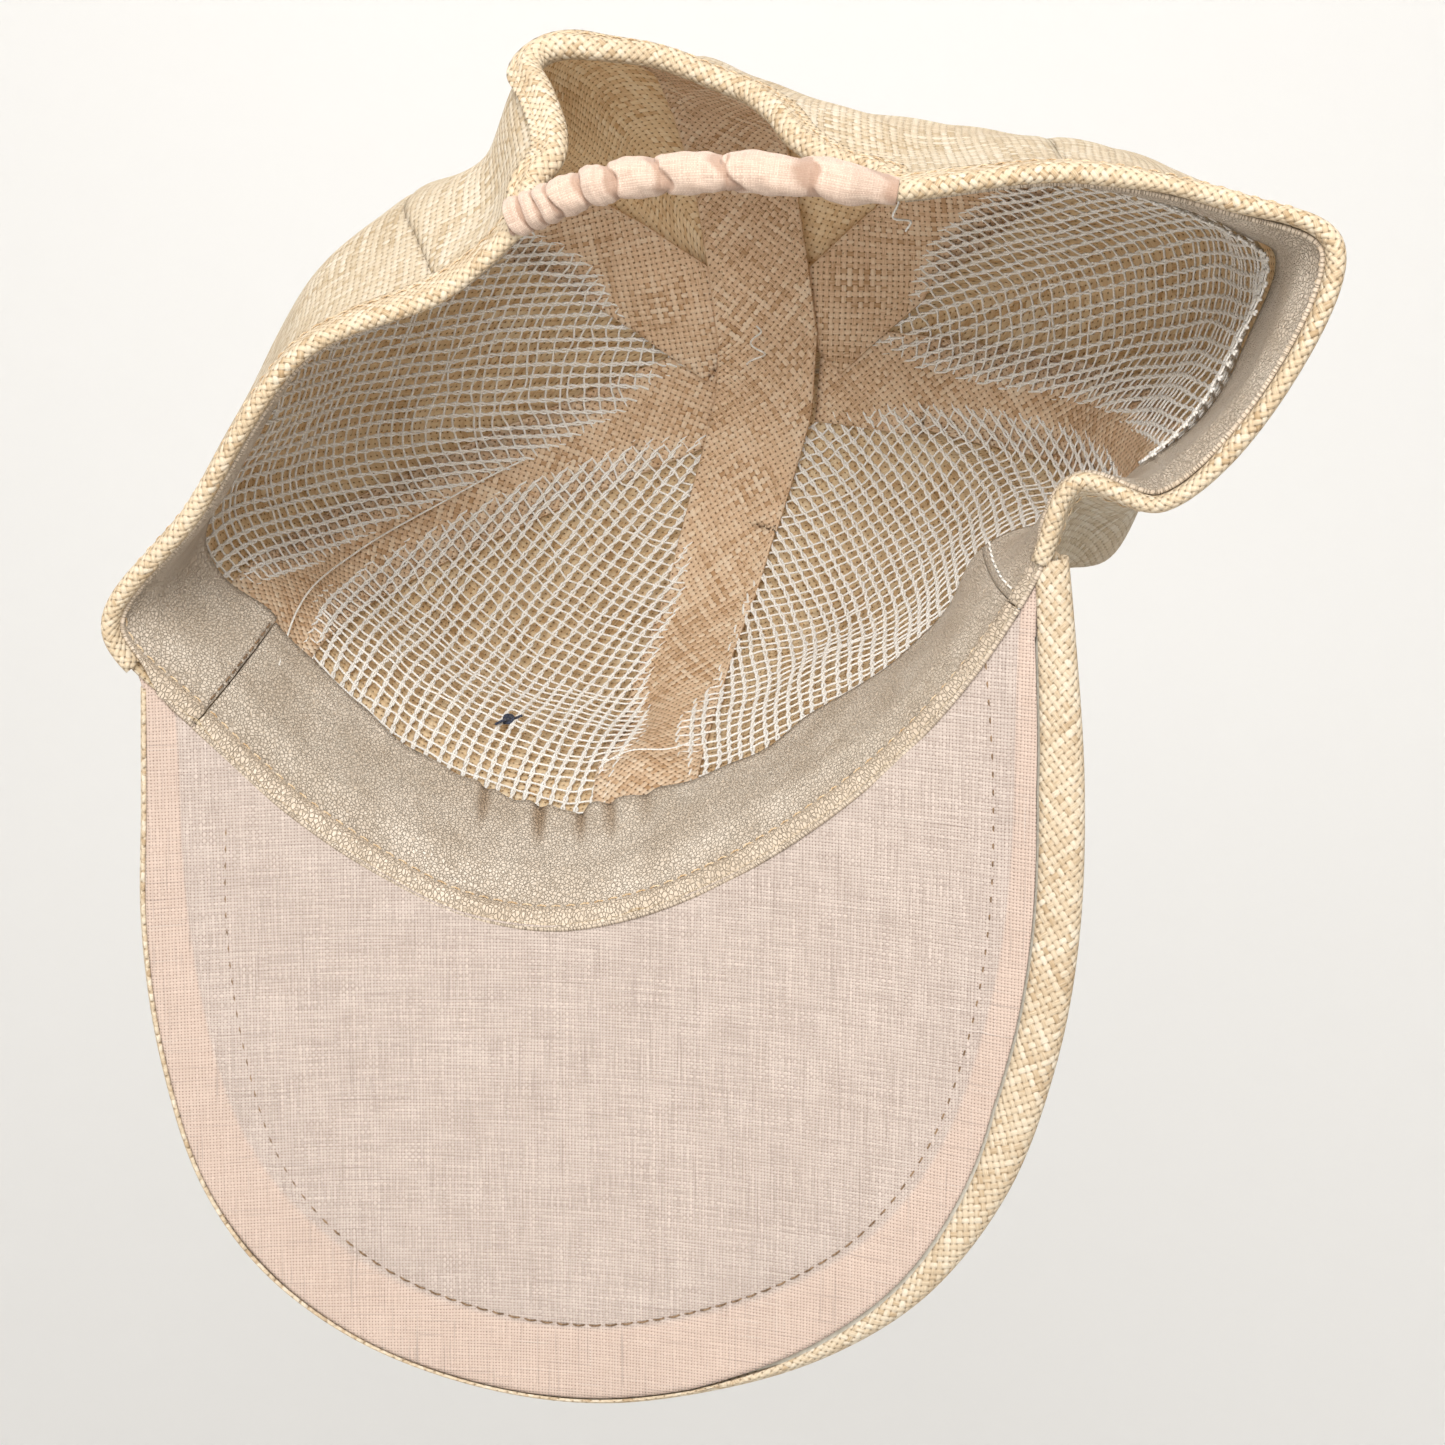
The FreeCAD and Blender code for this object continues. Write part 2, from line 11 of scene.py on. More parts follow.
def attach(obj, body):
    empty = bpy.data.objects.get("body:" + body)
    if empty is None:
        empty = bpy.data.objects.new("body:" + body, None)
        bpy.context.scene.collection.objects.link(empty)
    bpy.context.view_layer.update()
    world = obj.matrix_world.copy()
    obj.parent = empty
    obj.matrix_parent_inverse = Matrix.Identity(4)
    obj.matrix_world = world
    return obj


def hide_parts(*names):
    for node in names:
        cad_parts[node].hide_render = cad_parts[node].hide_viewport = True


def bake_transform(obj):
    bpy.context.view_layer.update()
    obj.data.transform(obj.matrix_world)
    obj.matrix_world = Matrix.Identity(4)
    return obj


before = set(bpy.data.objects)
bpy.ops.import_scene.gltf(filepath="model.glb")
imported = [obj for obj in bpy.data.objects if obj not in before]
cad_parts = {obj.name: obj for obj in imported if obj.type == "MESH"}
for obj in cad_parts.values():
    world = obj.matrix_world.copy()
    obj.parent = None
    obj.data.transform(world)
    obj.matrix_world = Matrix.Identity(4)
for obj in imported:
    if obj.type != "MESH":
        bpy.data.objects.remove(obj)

# A six-panel straw peaked cap, relaxed and half flattened.
# The cap's own sizes are in millimetres and become metres when a mesh is made.

LOG = logging.getLogger("straw_cap")
MM = 0.001
Array = np.ndarray
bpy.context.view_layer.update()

# Each station gives a point of the rim (x, y, z) and the wall's place (x, y) at the shoulder,
# from the front's middle round by the wearer's left.
STATIONS = (
    ((13, -79, 2), (17, -64)), ((30, -83, 2), (32, -68)), ((48, -81, 2), (48, -66)),
    ((63, -74, 2), (63, -60)), ((81, -62, 2), (79, -50)), ((99, -45, 2), (95, -34)),
    ((114, -26, 0), (107, -14)), ((97, -4, 2), (99, 8)), ((74, 27, 4), (84, 34)),
    ((48, 38, 6), (65, 50)), ((40, 44, 7), (47, 57)), ((31, 51, 8), (38, 77)),
    ((2, 55, 9), (10, 76)), ((-31, 57, 8), (-26, 65)), ((-63, 61, 7), (-58, 63)),
    ((-90, 57, 4), (-84, 56)), ((-106, 51, 0), (-100, 46)), ((-99, 27, -2), (-97, 21)),
    ((-81, 6, -1), (-81, 0)), ((-66, 8, 4), (-73, -16)), ((-60, -9, 5), (-62, -20)),
    ((-50, -27, 4), (-49, -31)), ((-37, -44, 4), (-34, -43)), ((-22, -58, 3), (-17, -52)),
    ((-4, -71, 3), (1, -60)),
)
ROUND = len(STATIONS)

# Edge of the half-moon opening on the back wall: (station, height up the wall)
ARCH = ((11.02, 9), (11.18, 13.5), (11.21, 20), (11.13, 30), (11.03, 38.5), (11.12, 41),
        (11.45, 40), (11.85, 41), (12.27, 37), (12.45, 29), (12.56, 20), (12.75, 13.5), (12.98, 9))

# Outline of the visor's outer edge (x, y), from its left end round the front to its right end
VISOR_OUTLINE = ((109, -38), (109, -60), (109, -84), (105.5, -110), (97.5, -136), (85, -154),
                 (66, -168), (42, -176), (18, -177), (-7, -170.5), (-28, -160), (-46, -144.5),
                 (-60, -122), (-67.5, -97), (-70.5, -73), (-70, -46), (-67, -20), (-65, -6))


class Seam(float, Enum):
    """Stations of the seams between the crown's panels."""

    FRONT = 0.0
    FRONT_LEFT = 5.0
    BACK_LEFT = 9.0
    BACK = 12.0
    BACK_RIGHT = 14.0
    FRONT_RIGHT = 18.0
    FRONT_AGAIN = 25.0


def tone(red: float, green: float, blue: float) -> tuple[float, float, float, float]:
    """A screen colour (0 to 255) as the linear colour that shaders take."""
    linear = [((c / 255 + 0.055) / 1.055) ** 2.4 if c > 10 else c / 3294 for c in (red, green, blue)]
    return (*linear, 1.0)


def smooth(value: Array, low: float, high: float) -> Array:
    """Rises smoothly from 0 at low to 1 at high."""
    share = np.clip((np.asarray(value, float) - low) / (high - low), 0, 1)
    return share * share * (3 - 2 * share)


def unit(vectors: Array) -> Array:
    """Vectors scaled to length one."""
    return vectors / np.maximum(np.linalg.norm(vectors, axis=-1, keepdims=True), 1e-9)


def catmull(p0: Array, p1: Array, p2: Array, p3: Array, share: Array) -> Array:
    """Point of the centripetal Catmull-Rom span between the middle two points.

    Args:
        p0, p1, p2, p3: four points in a row, arrays of the same shape.
        share: how far from p1 to p2, 0 to 1.

    Returns:
        The points on the span.
    """
    def gap(a: Array, b: Array) -> Array:
        """Knot distance between two points."""
        return np.maximum(1e-3, np.sqrt(np.linalg.norm(b - a, axis=-1)))[..., None]

    t1 = gap(p0, p1)
    t2 = t1 + gap(p1, p2)
    t3 = t2 + gap(p2, p3)
    t = t1 + (t2 - t1) * np.asarray(share)[..., None]
    a1 = p0 * (t1 - t) / t1 + p1 * t / t1
    a2 = p1 * (t2 - t) / (t2 - t1) + p2 * (t - t1) / (t2 - t1)
    a3 = p2 * (t3 - t) / (t3 - t2) + p3 * (t - t2) / (t3 - t2)
    b1 = a1 * (t2 - t) / t2 + a2 * t / t2
    b2 = a2 * (t3 - t) / (t3 - t1) + a3 * (t - t1) / (t3 - t1)
    return b1 * (t2 - t) / (t2 - t1) + b2 * (t - t1) / (t2 - t1)


def open_curve(points: Array, share: Array) -> Array:
    """Points at shares (0 to 1, by point number) of the spline through the given points.

    Args:
        points: places the spline passes, in order.
        share: how far along, 0 to 1 by point number.

    Returns:
        The points on the spline.
    """
    points = np.asarray(points, float)
    ends = np.concatenate([[points[0] * 2 - points[1]], points, [points[-1] * 2 - points[-2]]])
    place = np.clip(np.asarray(share, float), 0, 0.999999) * (len(points) - 1)
    index = place.astype(int)
    return catmull(ends[index], ends[index + 1], ends[index + 2], ends[index + 3], place - index)


def even_curve(points: Array, count: int) -> Array:
    """The spline through the points as a number of points an even distance apart.

    Args:
        points: places the spline passes, in order.
        count: how many points are wanted.

    Returns:
        Points an even distance apart.
    """
    fine = open_curve(points, np.linspace(0, 1, 40 * len(points)))
    run = np.concatenate([[0], np.cumsum(np.linalg.norm(np.diff(fine, axis=0), axis=1))])
    wanted = np.linspace(0, run[-1], count)
    return np.stack([np.interp(wanted, run, fine[:, k]) for k in range(fine.shape[1])], axis=1)


def arc_lengths(points: Array, axis: int) -> Array:
    """Distance run along one axis of a grid of points, from its first row or column.

    Args:
        points: grid of points, or a single line of them.
        axis: the direction run along.

    Returns:
        Distances, shaped as the grid.
    """
    steps = np.linalg.norm(np.diff(points, axis=axis), axis=-1)
    start = np.zeros_like(np.take(steps, [0], axis=axis))
    return np.concatenate([start, np.cumsum(steps, axis=axis)], axis=axis)


@dataclass
class CapForm:
    """The crown's wall as a surface of station (round the rim) and height (up the wall).

    Attributes:
        crown_height: top of the dome.
        shoulder_height: level where the wall turns into the dome.
        apex: plan position of the crown's top.
        dome_power: how square the dome is.
        fold_fade: share of the way out where the wall's folds begin to show.
        rumple: size of the soft dents in the cloth.
    """

    crown_height: float = 112.0
    shoulder_height: float = 42.0
    apex: tuple[float, float] = (1.0, 6.0)
    dome_power: float = 2.5
    fold_fade: float = 0.72
    rumple: float = 1.0
    rims: Array = field(default_factory=lambda: np.array([rim for rim, _ in STATIONS], float))
    shoulders: Array = field(default_factory=lambda: np.array([top for _, top in STATIONS], float))

    def ring(self, points: Array, station: Array) -> Array:
        """Points of the closed spline through one point per station.

        Args:
            points: one point for each station.
            station: places round the rim.

        Returns:
            Points on the closed spline.
        """
        base = np.floor(station).astype(int)
        around = [points[(base + step) % ROUND] for step in (-1, 0, 1, 2)]
        return catmull(*around, station - base)

    def shoulder(self, station: Array) -> Array:
        """Points of the wall at shoulder height."""
        lifted = np.concatenate([self.shoulders, np.full((ROUND, 1), self.shoulder_height)], axis=1)
        return self.ring(lifted, station)

    def radius(self, station: Array) -> Array:
        """Distance from the apex's axis to the wall at shoulder height."""
        return np.linalg.norm(self.shoulder(station)[..., :2] - self.apex, axis=-1)

    def radii(self, station: Array) -> tuple[Array, Array]:
        """The shoulder's radius as folded, and with its folds smoothed out."""
        spread = [self.radius(station + step / 2) for step in range(-3, 4)]
        return spread[3], sum(spread) / len(spread)

    def dome_radius(self, radii: tuple[Array, Array], reach: Array) -> Array:
        """Distance from the apex's axis at a share of the way out."""
        sharp, soft = radii
        return reach * (soft + (sharp - soft) * smooth(reach, self.fold_fade, 1.0))

    def dome_rise(self, reach: Array) -> Array:
        """Height of the dome at a share of the way out."""
        share = np.maximum(0, 1 - np.asarray(reach, float) ** self.dome_power)
        return (self.shoulder_height
                + (self.crown_height - self.shoulder_height) * share ** (1 / self.dome_power))

    def meridians(self, station: Array) -> tuple[Array, Array]:
        """Knots from the rim up to the apex, with one more at each end, and the spans' lengths.

        Args:
            station: places round the rim.

        Returns:
            Knots of each meridian, and the lengths between them.
        """
        rim = self.ring(self.rims, station)
        shoulder = self.shoulder(station)
        radii = self.radii(station)
        knots = [rim, (rim + shoulder) / 2, shoulder]
        for degrees in (22, 42, 60, 75, 85, 90):
            reach = max(0.0, math.cos(math.radians(degrees))) ** (2 / self.dome_power)
            away = (self.dome_radius(radii, np.float64(reach)) / radii[0])[..., None]
            flat = (shoulder[..., :2] - self.apex) * away + self.apex
            height = np.full(station.shape + (1,), float(self.dome_rise(reach)))
            knots.append(np.concatenate([flat, height], axis=-1))
        knots = [knots[0] * 2 - knots[1]] + knots + [knots[-1] * 2 - knots[-2]]
        points = np.stack(knots, axis=-2)
        spans = np.linalg.norm(np.diff(points[..., 1:-1, :], axis=-2), axis=-1)
        return points, spans

    def length(self, station: Array) -> Array:
        """Length of the wall from the rim to the apex."""
        return self.meridians(np.asarray(station, float))[1].sum(-1)

    def wall(self, station: Array, height: Array) -> Array:
        """Points of the crown's outer face, a height up the wall from the rim.

        Args:
            station: places round the rim.
            height: distances up the wall, millimetres.

        Returns:
            Points of the crown's outer face.
        """
        station, height = np.broadcast_arrays(np.asarray(station, float), np.asarray(height, float))
        points, spans = self.meridians(station)
        ends = np.cumsum(spans, axis=-1)
        index = np.minimum((height[..., None] > ends).sum(-1), spans.shape[-1] - 1)
        span = np.take_along_axis(spans, index[..., None], -1)[..., 0]
        low = np.take_along_axis(ends, index[..., None], -1)[..., 0] - span
        knots = [np.take_along_axis(points, (index + step)[..., None, None], -2)[..., 0, :]
                 for step in range(4)]
        return catmull(*knots, (height - low) / span)

    def normal(self, station: Array, height: Array) -> Array:
        """Unit normals of the wall, pointing into the crown.

        Args:
            station: places round the rim.
            height: distances up the wall, millimetres.

        Returns:
            Vectors of length one.
        """
        station, height = np.broadcast_arrays(np.asarray(station, float), np.asarray(height, float))
        along = self.wall(station + 0.02, height) - self.wall(station - 0.02, height)
        up = self.wall(station, height + 0.5) - self.wall(station, np.maximum(0, height - 0.5))
        return unit(np.cross(up, along))

    def dents(self, points: Array) -> Array:
        """Soft dents of the cloth, millimetres inwards, the same for every layer.

        Args:
            points: points of the crown's outer face.

        Returns:
            Millimetres inwards, one for each point.
        """
        x, y, z = points[..., 0], points[..., 1], points[..., 2]
        waves = (np.sin(0.105 * x + 0.07 * y + 0.04 * z + 0.6)
                 + 0.8 * np.sin(-0.06 * x + 0.13 * y + 0.09 * z + 2.1)
                 + 0.6 * np.sin(0.17 * x - 0.11 * y + 0.13 * z + 4.0)
                 + 0.35 * np.sin(0.29 * x + 0.21 * y - 0.24 * z + 1.2))
        return self.rumple * 0.6 * waves

    def layer(self, station: Array, height: Array, depth: Array) -> Array:
        """Points a depth inside the crown's outer face, dented as the cloth is.

        Args:
            station: places round the rim.
            height: distances up the wall, millimetres.
            depth: distance inside the crown's outer face.

        Returns:
            Points on the layer.
        """
        point = self.wall(station, height)
        fade = smooth(np.asarray(height, float), 6, 30)
        push = np.asarray(depth, float) + self.dents(point) * fade
        return point + self.normal(station, height) * push[..., None]

    def dome(self, x: Array, y: Array, depth: Array) -> Array:
        """Points on the dome over plan positions, a depth inside it and dented.

        Args:
            x, y: plan positions, millimetres.
            depth: distance inside the crown's outer face.

        Returns:
            Points on the layer.
        """
        turn = np.linspace(0, ROUND, 401)
        ring = self.shoulder(turn)
        angles = np.unwrap(np.arctan2(ring[:, 1] - self.apex[1], ring[:, 0] - self.apex[0]))

        def height(px: Array, py: Array) -> Array:
            """Height of the dome's outer face over plan positions."""
            away = np.hypot(px - self.apex[0], py - self.apex[1])
            angle = np.arctan2(py - self.apex[1], px - self.apex[0])
            angle = angles[0] + (angle - angles[0]) % (2 * math.pi)
            radii = self.radii(np.interp(angle, angles, turn))
            low, high = np.zeros_like(away), np.ones_like(away)
            for _ in range(18):
                middle = (low + high) / 2
                inside = self.dome_radius(radii, middle) < away
                low, high = np.where(inside, middle, low), np.where(inside, high, middle)
            return self.dome_rise(low)

        slope = [(height(x + 1, y) - height(x - 1, y)) / 2, (height(x, y + 1) - height(x, y - 1)) / 2]
        inward = unit(np.stack([slope[0], slope[1], -np.ones_like(slope[0])], axis=-1))
        point = np.stack([x, y, height(x, y)], axis=-1)
        return point + inward * (np.asarray(depth, float) + self.dents(point))[..., None]

    def strip(self, stations: Array, heights: Array, offsets: Array, depth: Array) -> Array:
        """Grid of points across a strip that runs up the wall, square to its middle line.

        Args:
            stations, heights: the middle line, one value for each row.
            offsets: distances to the side, one for each column.
            depth: depth inside the wall, for each row and column.

        Returns:
            Points, rows by columns.
        """
        centre = self.wall(stations, heights)[:, None, :]
        up = unit(self.wall(stations, heights + 1) - self.wall(stations, heights - 1))[:, None, :]
        along = (self.wall(stations + 0.05, heights) - self.wall(stations - 0.05, heights))[:, None, :]
        across = unit(along - up * (along * up).sum(-1, keepdims=True))
        speed = np.linalg.norm(along, axis=-1) / 0.1
        station = stations[:, None] + offsets[None, :] / speed
        height = np.repeat(heights[:, None], len(offsets), axis=1)
        for _ in range(6):
            error = self.wall(station, height) - centre
            station = station + (offsets - (error * across).sum(-1)) / speed * 0.8
            height = height - (error * up).sum(-1) * 0.8
        return self.layer(station, height, depth)


def make_object(name: str, mesh: bpy.types.Mesh) -> bpy.types.Object:
    """A smooth-shaded object in the scene for a finished mesh.

    Args:
        name: the piece's name.
        mesh: its finished mesh, in metres.

    Returns:
        The new object.
    """
    mesh.polygons.foreach_set("use_smooth", [True] * len(mesh.polygons))
    made = bpy.data.objects.new(name, mesh)
    bpy.context.scene.collection.objects.link(made)
    return made


def grid_object(name: str, points: Array, cloth: Array, wrap: bool = False, keep: Array | None = None,
                flip: bool = False, marks: dict[str, Array] | None = None) -> bpy.types.Object:
    """Mesh of quads over a grid of points.

    Args:
        name: the piece's name.
        points: rows by columns by 3, millimetres.
        cloth: rows by columns by 2, millimetres on the flat cloth, for the weave.
        wrap: the last column repeats the first one's place.
        keep: which quads stay, rows - 1 by columns - 1.
        flip: turns the faces round.
        marks: values for each point, kept as attributes for the finish to read.

    Returns:
        The new object.
    """
    rows, columns = points.shape[:2]
    used = columns - 1 if wrap else columns
    r, c = np.meshgrid(np.arange(rows - 1), np.arange(columns - 1), indexing="ij")
    if keep is None:
        keep = np.ones(r.shape, bool)
    r, c = r[keep], c[keep]
    steps = ((0, 0), (0, 1), (1, 1), (1, 0))
    if flip:
        steps = steps[::-1]
    faces = np.stack([(r + a) * used + (c + b) % used for a, b in steps], axis=-1)
    shown, faces = np.unique(faces, return_inverse=True)
    faces = faces.reshape(-1, 4)
    mesh = bpy.data.meshes.new(name)
    mesh.from_pydata((points[:, :used].reshape(-1, 3)[shown] * MM).tolist(), [], faces.tolist())
    corners = np.stack([cloth[r + a, c + b] for a, b in steps], axis=1)
    mesh.uv_layers.new(name="Cloth").data.foreach_set("uv", (corners * MM).ravel())
    for mark, values in (marks or {}).items():
        attribute = mesh.attributes.new(mark, "FLOAT", "POINT")
        attribute.data.foreach_set("value", values[:, :used].ravel()[shown].astype(np.float32))
    return make_object(name, mesh)


def thicken(piece: bpy.types.Object, thickness: float, offset: float = -1.0,
            inner_slot: int = 0) -> bpy.types.Object:
    """Gives a sheet its thickness with an applied Solidify modifier.

    Args:
        piece: a single-layer sheet.
        thickness: millimetres.
        offset: -1 grows behind the faces, 1 in front of them.
        inner_slot: material slot step for the new back faces.

    Returns:
        The same object.
    """
    bpy.ops.object.select_all(action="DESELECT")
    bpy.context.view_layer.objects.active = piece
    piece.select_set(True)
    modifier = piece.modifiers.new("Thickness", "SOLIDIFY")
    modifier.thickness = thickness * MM
    modifier.offset = offset
    modifier.material_offset = inner_slot
    bpy.ops.object.modifier_apply(modifier=modifier.name)
    return piece


class Threads:
    """Collects round threads and makes them one mesh."""

    def __init__(self, sides: int = 4) -> None:
        """Starts with no thread; sides is how many faces go round each one.

        Args:
            sides: how many faces go round a thread.
        """
        self.sides = sides
        self.verts: list[Array] = []
        self.faces: list[list[int]] = []
        self.cloth: list[tuple[float, float]] = []
        self.count = 0

    def add(self, path: Array, radius: float) -> None:
        """Adds one thread along a path of points, in millimetres.

        Args:
            path: points along the thread, millimetres.
            radius: the thread's radius.
        """
        path = np.asarray(path, float)
        if len(path) < 2:
            return
        tangent = unit(np.gradient(path, axis=0))
        start = np.array([0.31, 0.22, 0.93]) if abs(tangent[0, 2]) < 0.8 else np.array([0.9, 0.4, 0.1])
        side = unit(np.cross(tangent, start))
        other = np.cross(tangent, side)
        angles = np.arange(self.sides) * 2 * math.pi / self.sides
        ring = (side[:, None] * np.cos(angles)[:, None] + other[:, None] * np.sin(angles)[:, None])
        self.verts.append((path[:, None] + ring * radius).reshape(-1, 3))
        run = arc_lengths(path, 0) * MM
        for i in range(len(path) - 1):
            for k in range(self.sides):
                a, b = self.count + i * self.sides + k, self.count + i * self.sides + (k + 1) % self.sides
                self.faces.append([a, b, b + self.sides, a + self.sides])
                u = k / self.sides * 0.001
                self.cloth += [(u, run[i]), (u + 0.00025, run[i]), (u + 0.00025, run[i + 1]),
                               (u, run[i + 1])]
        first = list(range(self.count, self.count + self.sides))
        last = [v + (len(path) - 1) * self.sides for v in first]
        self.faces += [first[::-1], last]
        self.cloth += [(0.0, 0.0)] * (2 * self.sides)
        self.count += len(path) * self.sides

    def stitches(self, line: Array, inward: Array, pitch: float, length: float, radius: float,
                 lift: float = 0.25) -> None:
        """Adds a row of stitches along a line that lies on a surface.

        Args:
            line: points of the line, close together.
            inward: the surface's normal at each point, towards the side where the stitches show.
            pitch: distance from one stitch to the next.
            length: length of a stitch.
            radius: the thread's radius.
            lift: how far a stitch stands up from the line.
        """
        run = arc_lengths(line, 0)
        bow = np.array([-0.5, 0.6, 1.0, 0.6, -0.5])
        for start in np.arange(pitch / 2, run[-1] - length, pitch):
            places = start + np.linspace(0, length, 5)
            path = np.stack([np.interp(places, run, line[:, k]) for k in range(3)], axis=1)
            out = np.stack([np.interp(places, run, inward[:, k]) for k in range(3)], axis=1)
            self.add(path + out * (bow * lift)[:, None], radius)

    def build(self, name: str) -> bpy.types.Object:
        """Makes the collected threads one object.

        Args:
            name: the piece's name.

        Returns:
            The new object.
        """
        mesh = bpy.data.meshes.new(name)
        mesh.from_pydata((np.concatenate(self.verts) * MM).tolist(), [], self.faces)
        mesh.uv_layers.new(name="Cloth").data.foreach_set("uv", np.array(self.cloth).ravel())
        return make_object(name, mesh)


class Graph:
    """Builds the node graph of one finish."""

    def __init__(self, name: str) -> None:
        """Starts a material with a plain Principled shader.

        Args:
            name: the finish's name.
        """
        self.material = bpy.data.materials.new(name)
        self.material.use_nodes = True
        self.tree = self.material.node_tree
        self.shader = next(n for n in self.tree.nodes if n.type == "BSDF_PRINCIPLED")
        self.output = next(n for n in self.tree.nodes if n.type == "OUTPUT_MATERIAL")

    def feed(self, socket: bpy.types.NodeSocket, value: object) -> None:
        """Links a socket to another, or sets its value.

        Args:
            socket: the socket to feed.
            value: another socket, or a plain value.
        """
        if isinstance(value, bpy.types.NodeSocket):
            self.tree.links.new(value, socket)
        else:
            socket.default_value = value

    def math(self, kind: str, a: object, b: object = 0.0, c: object = 0.0) -> bpy.types.NodeSocket:
        """A Math node's result.

        Args:
            kind: the node's operation.
            a, b, c: its inputs, sockets or numbers.

        Returns:
            The node's output.
        """
        node = self.tree.nodes.new("ShaderNodeMath")
        node.operation = kind
        for socket, value in zip(node.inputs, (a, b, c)):
            self.feed(socket, value)
        return node.outputs[0]

    def total(self, *parts: object) -> bpy.types.NodeSocket:
        """Sum of several values."""
        result = parts[0]
        for part in parts[1:]:
            result = self.math("ADD", result, part)
        return result

    def times(self, a: object, b: object) -> bpy.types.NodeSocket:
        """Product of two values."""
        return self.math("MULTIPLY", a, b)

    def ramp(self, value: object, low: float, high: float, start: float = 0.0,
             end: float = 1.0) -> bpy.types.NodeSocket:
        """Maps a range of a value smoothly to another, clamped.

        Args:
            value: the value to map.
            low, high: the range it is read over.
            start, end: what the two ends become.

        Returns:
            The mapped value.
        """
        node = self.tree.nodes.new("ShaderNodeMapRange")
        node.interpolation_type = "SMOOTHSTEP"
        for key, number in (("From Min", low), ("From Max", high), ("To Min", start), ("To Max", end)):
            node.inputs[key].default_value = number
        self.feed(node.inputs["Value"], value)
        return node.outputs["Result"]

    def cloth(self, angle: float = 0.0) -> tuple[bpy.types.NodeSocket, bpy.types.NodeSocket]:
        """The two directions of the piece's own cloth in millimetres, turned by an angle in degrees.

        Args:
            angle: turn of the two directions.

        Returns:
            Across and along, in millimetres.
        """
        source = self.tree.nodes.new("ShaderNodeUVMap")
        source.uv_map = "Cloth"
        split = self.tree.nodes.new("ShaderNodeSeparateXYZ")
        self.feed(split.inputs[0], source.outputs[0])
        across, along = (self.times(split.outputs[k], 1000.0) for k in (0, 1))
        if not angle:
            return across, along
        cosine, sine = math.cos(math.radians(angle)), math.sin(math.radians(angle))
        return (self.total(self.times(across, cosine), self.times(along, -sine)),
                self.total(self.times(across, sine), self.times(along, cosine)))

    def place(self) -> bpy.types.NodeSocket:
        """The piece's own place in space, in metres."""
        return self.tree.nodes.new("ShaderNodeTexCoord").outputs["Object"]

    def point(self, x: object, y: object, z: object = 0.0) -> bpy.types.NodeSocket:
        """Three values as one place.

        Args:
            x, y, z: the three values.

        Returns:
            The place.
        """
        node = self.tree.nodes.new("ShaderNodeCombineXYZ")
        for socket, value in zip(node.inputs, (x, y, z)):
            self.feed(socket, value)
        return node.outputs[0]

    def noise(self, place: object, scale: float, detail: float = 2.0,
              rough: float = 0.5) -> bpy.types.NodeSocket:
        """Soft noise, 0 to 1.

        Args:
            place: where it is read.
            scale: how fine it is.
            detail: how many finer layers it has.
            rough: how strong the finer layers are.

        Returns:
            The noise.
        """
        node = self.tree.nodes.new("ShaderNodeTexNoise")
        self.feed(node.inputs["Vector"], place)
        node.inputs["Scale"].default_value = scale
        node.inputs["Detail"].default_value = detail
        node.inputs["Roughness"].default_value = rough
        return node.outputs["Fac"]

    def cells(self, place: object, scale: float, feature: str = "F1") -> bpy.types.NodeSocket:
        """Distance inside a pattern of cells.

        Args:
            place: where it is read.
            scale: how fine the cells are.
            feature: which distance is given.

        Returns:
            The distance.
        """
        node = self.tree.nodes.new("ShaderNodeTexVoronoi")
        node.feature = feature
        self.feed(node.inputs["Vector"], place)
        node.inputs["Scale"].default_value = scale
        return node.outputs["Distance"]

    def mix(self, share: object, a: object, b: object, kind: str = "MIX") -> bpy.types.NodeSocket:
        """Mixes two colours.

        Args:
            share: how much of the second colour shows.
            a, b: the two colours.
            kind: how they are mixed.

        Returns:
            The mixed colour.
        """
        node = self.tree.nodes.new("ShaderNodeMix")
        node.data_type = "RGBA"
        node.blend_type = kind
        self.feed(node.inputs[0], share)
        self.feed(node.inputs[6], a)
        self.feed(node.inputs[7], b)
        return node.outputs[2]

    def mark(self, name: str) -> bpy.types.NodeSocket:
        """A value kept on the piece's own points.

        Args:
            name: the attribute's name.

        Returns:
            Its value.
        """
        node = self.tree.nodes.new("ShaderNodeAttribute")
        node.attribute_name = name
        return node.outputs["Fac"]

    def bump(self, height: object, depth: float) -> None:
        """Raises the surface by a height value times a depth in millimetres.

        Args:
            height: the height value.
            depth: how deep the relief is, millimetres.
        """
        node = self.tree.nodes.new("ShaderNodeBump")
        node.inputs["Distance"].default_value = depth * MM
        self.feed(node.inputs["Height"], height)
        self.feed(self.shader.inputs["Normal"], node.outputs[0])

    def glow_through(self, share: float, colour: object) -> None:
        """Lets light from behind show through the cloth.

        Args:
            share: share of the light let through.
            colour: colour of that light.
        """
        behind = self.tree.nodes.new("ShaderNodeBsdfTranslucent")
        self.feed(behind.inputs["Color"], colour)
        mixed = self.tree.nodes.new("ShaderNodeMixShader")
        mixed.inputs[0].default_value = share
        self.feed(mixed.inputs[1], self.shader.outputs[0])
        self.feed(mixed.inputs[2], behind.outputs[0])
        self.feed(self.output.inputs["Surface"], mixed.outputs[0])

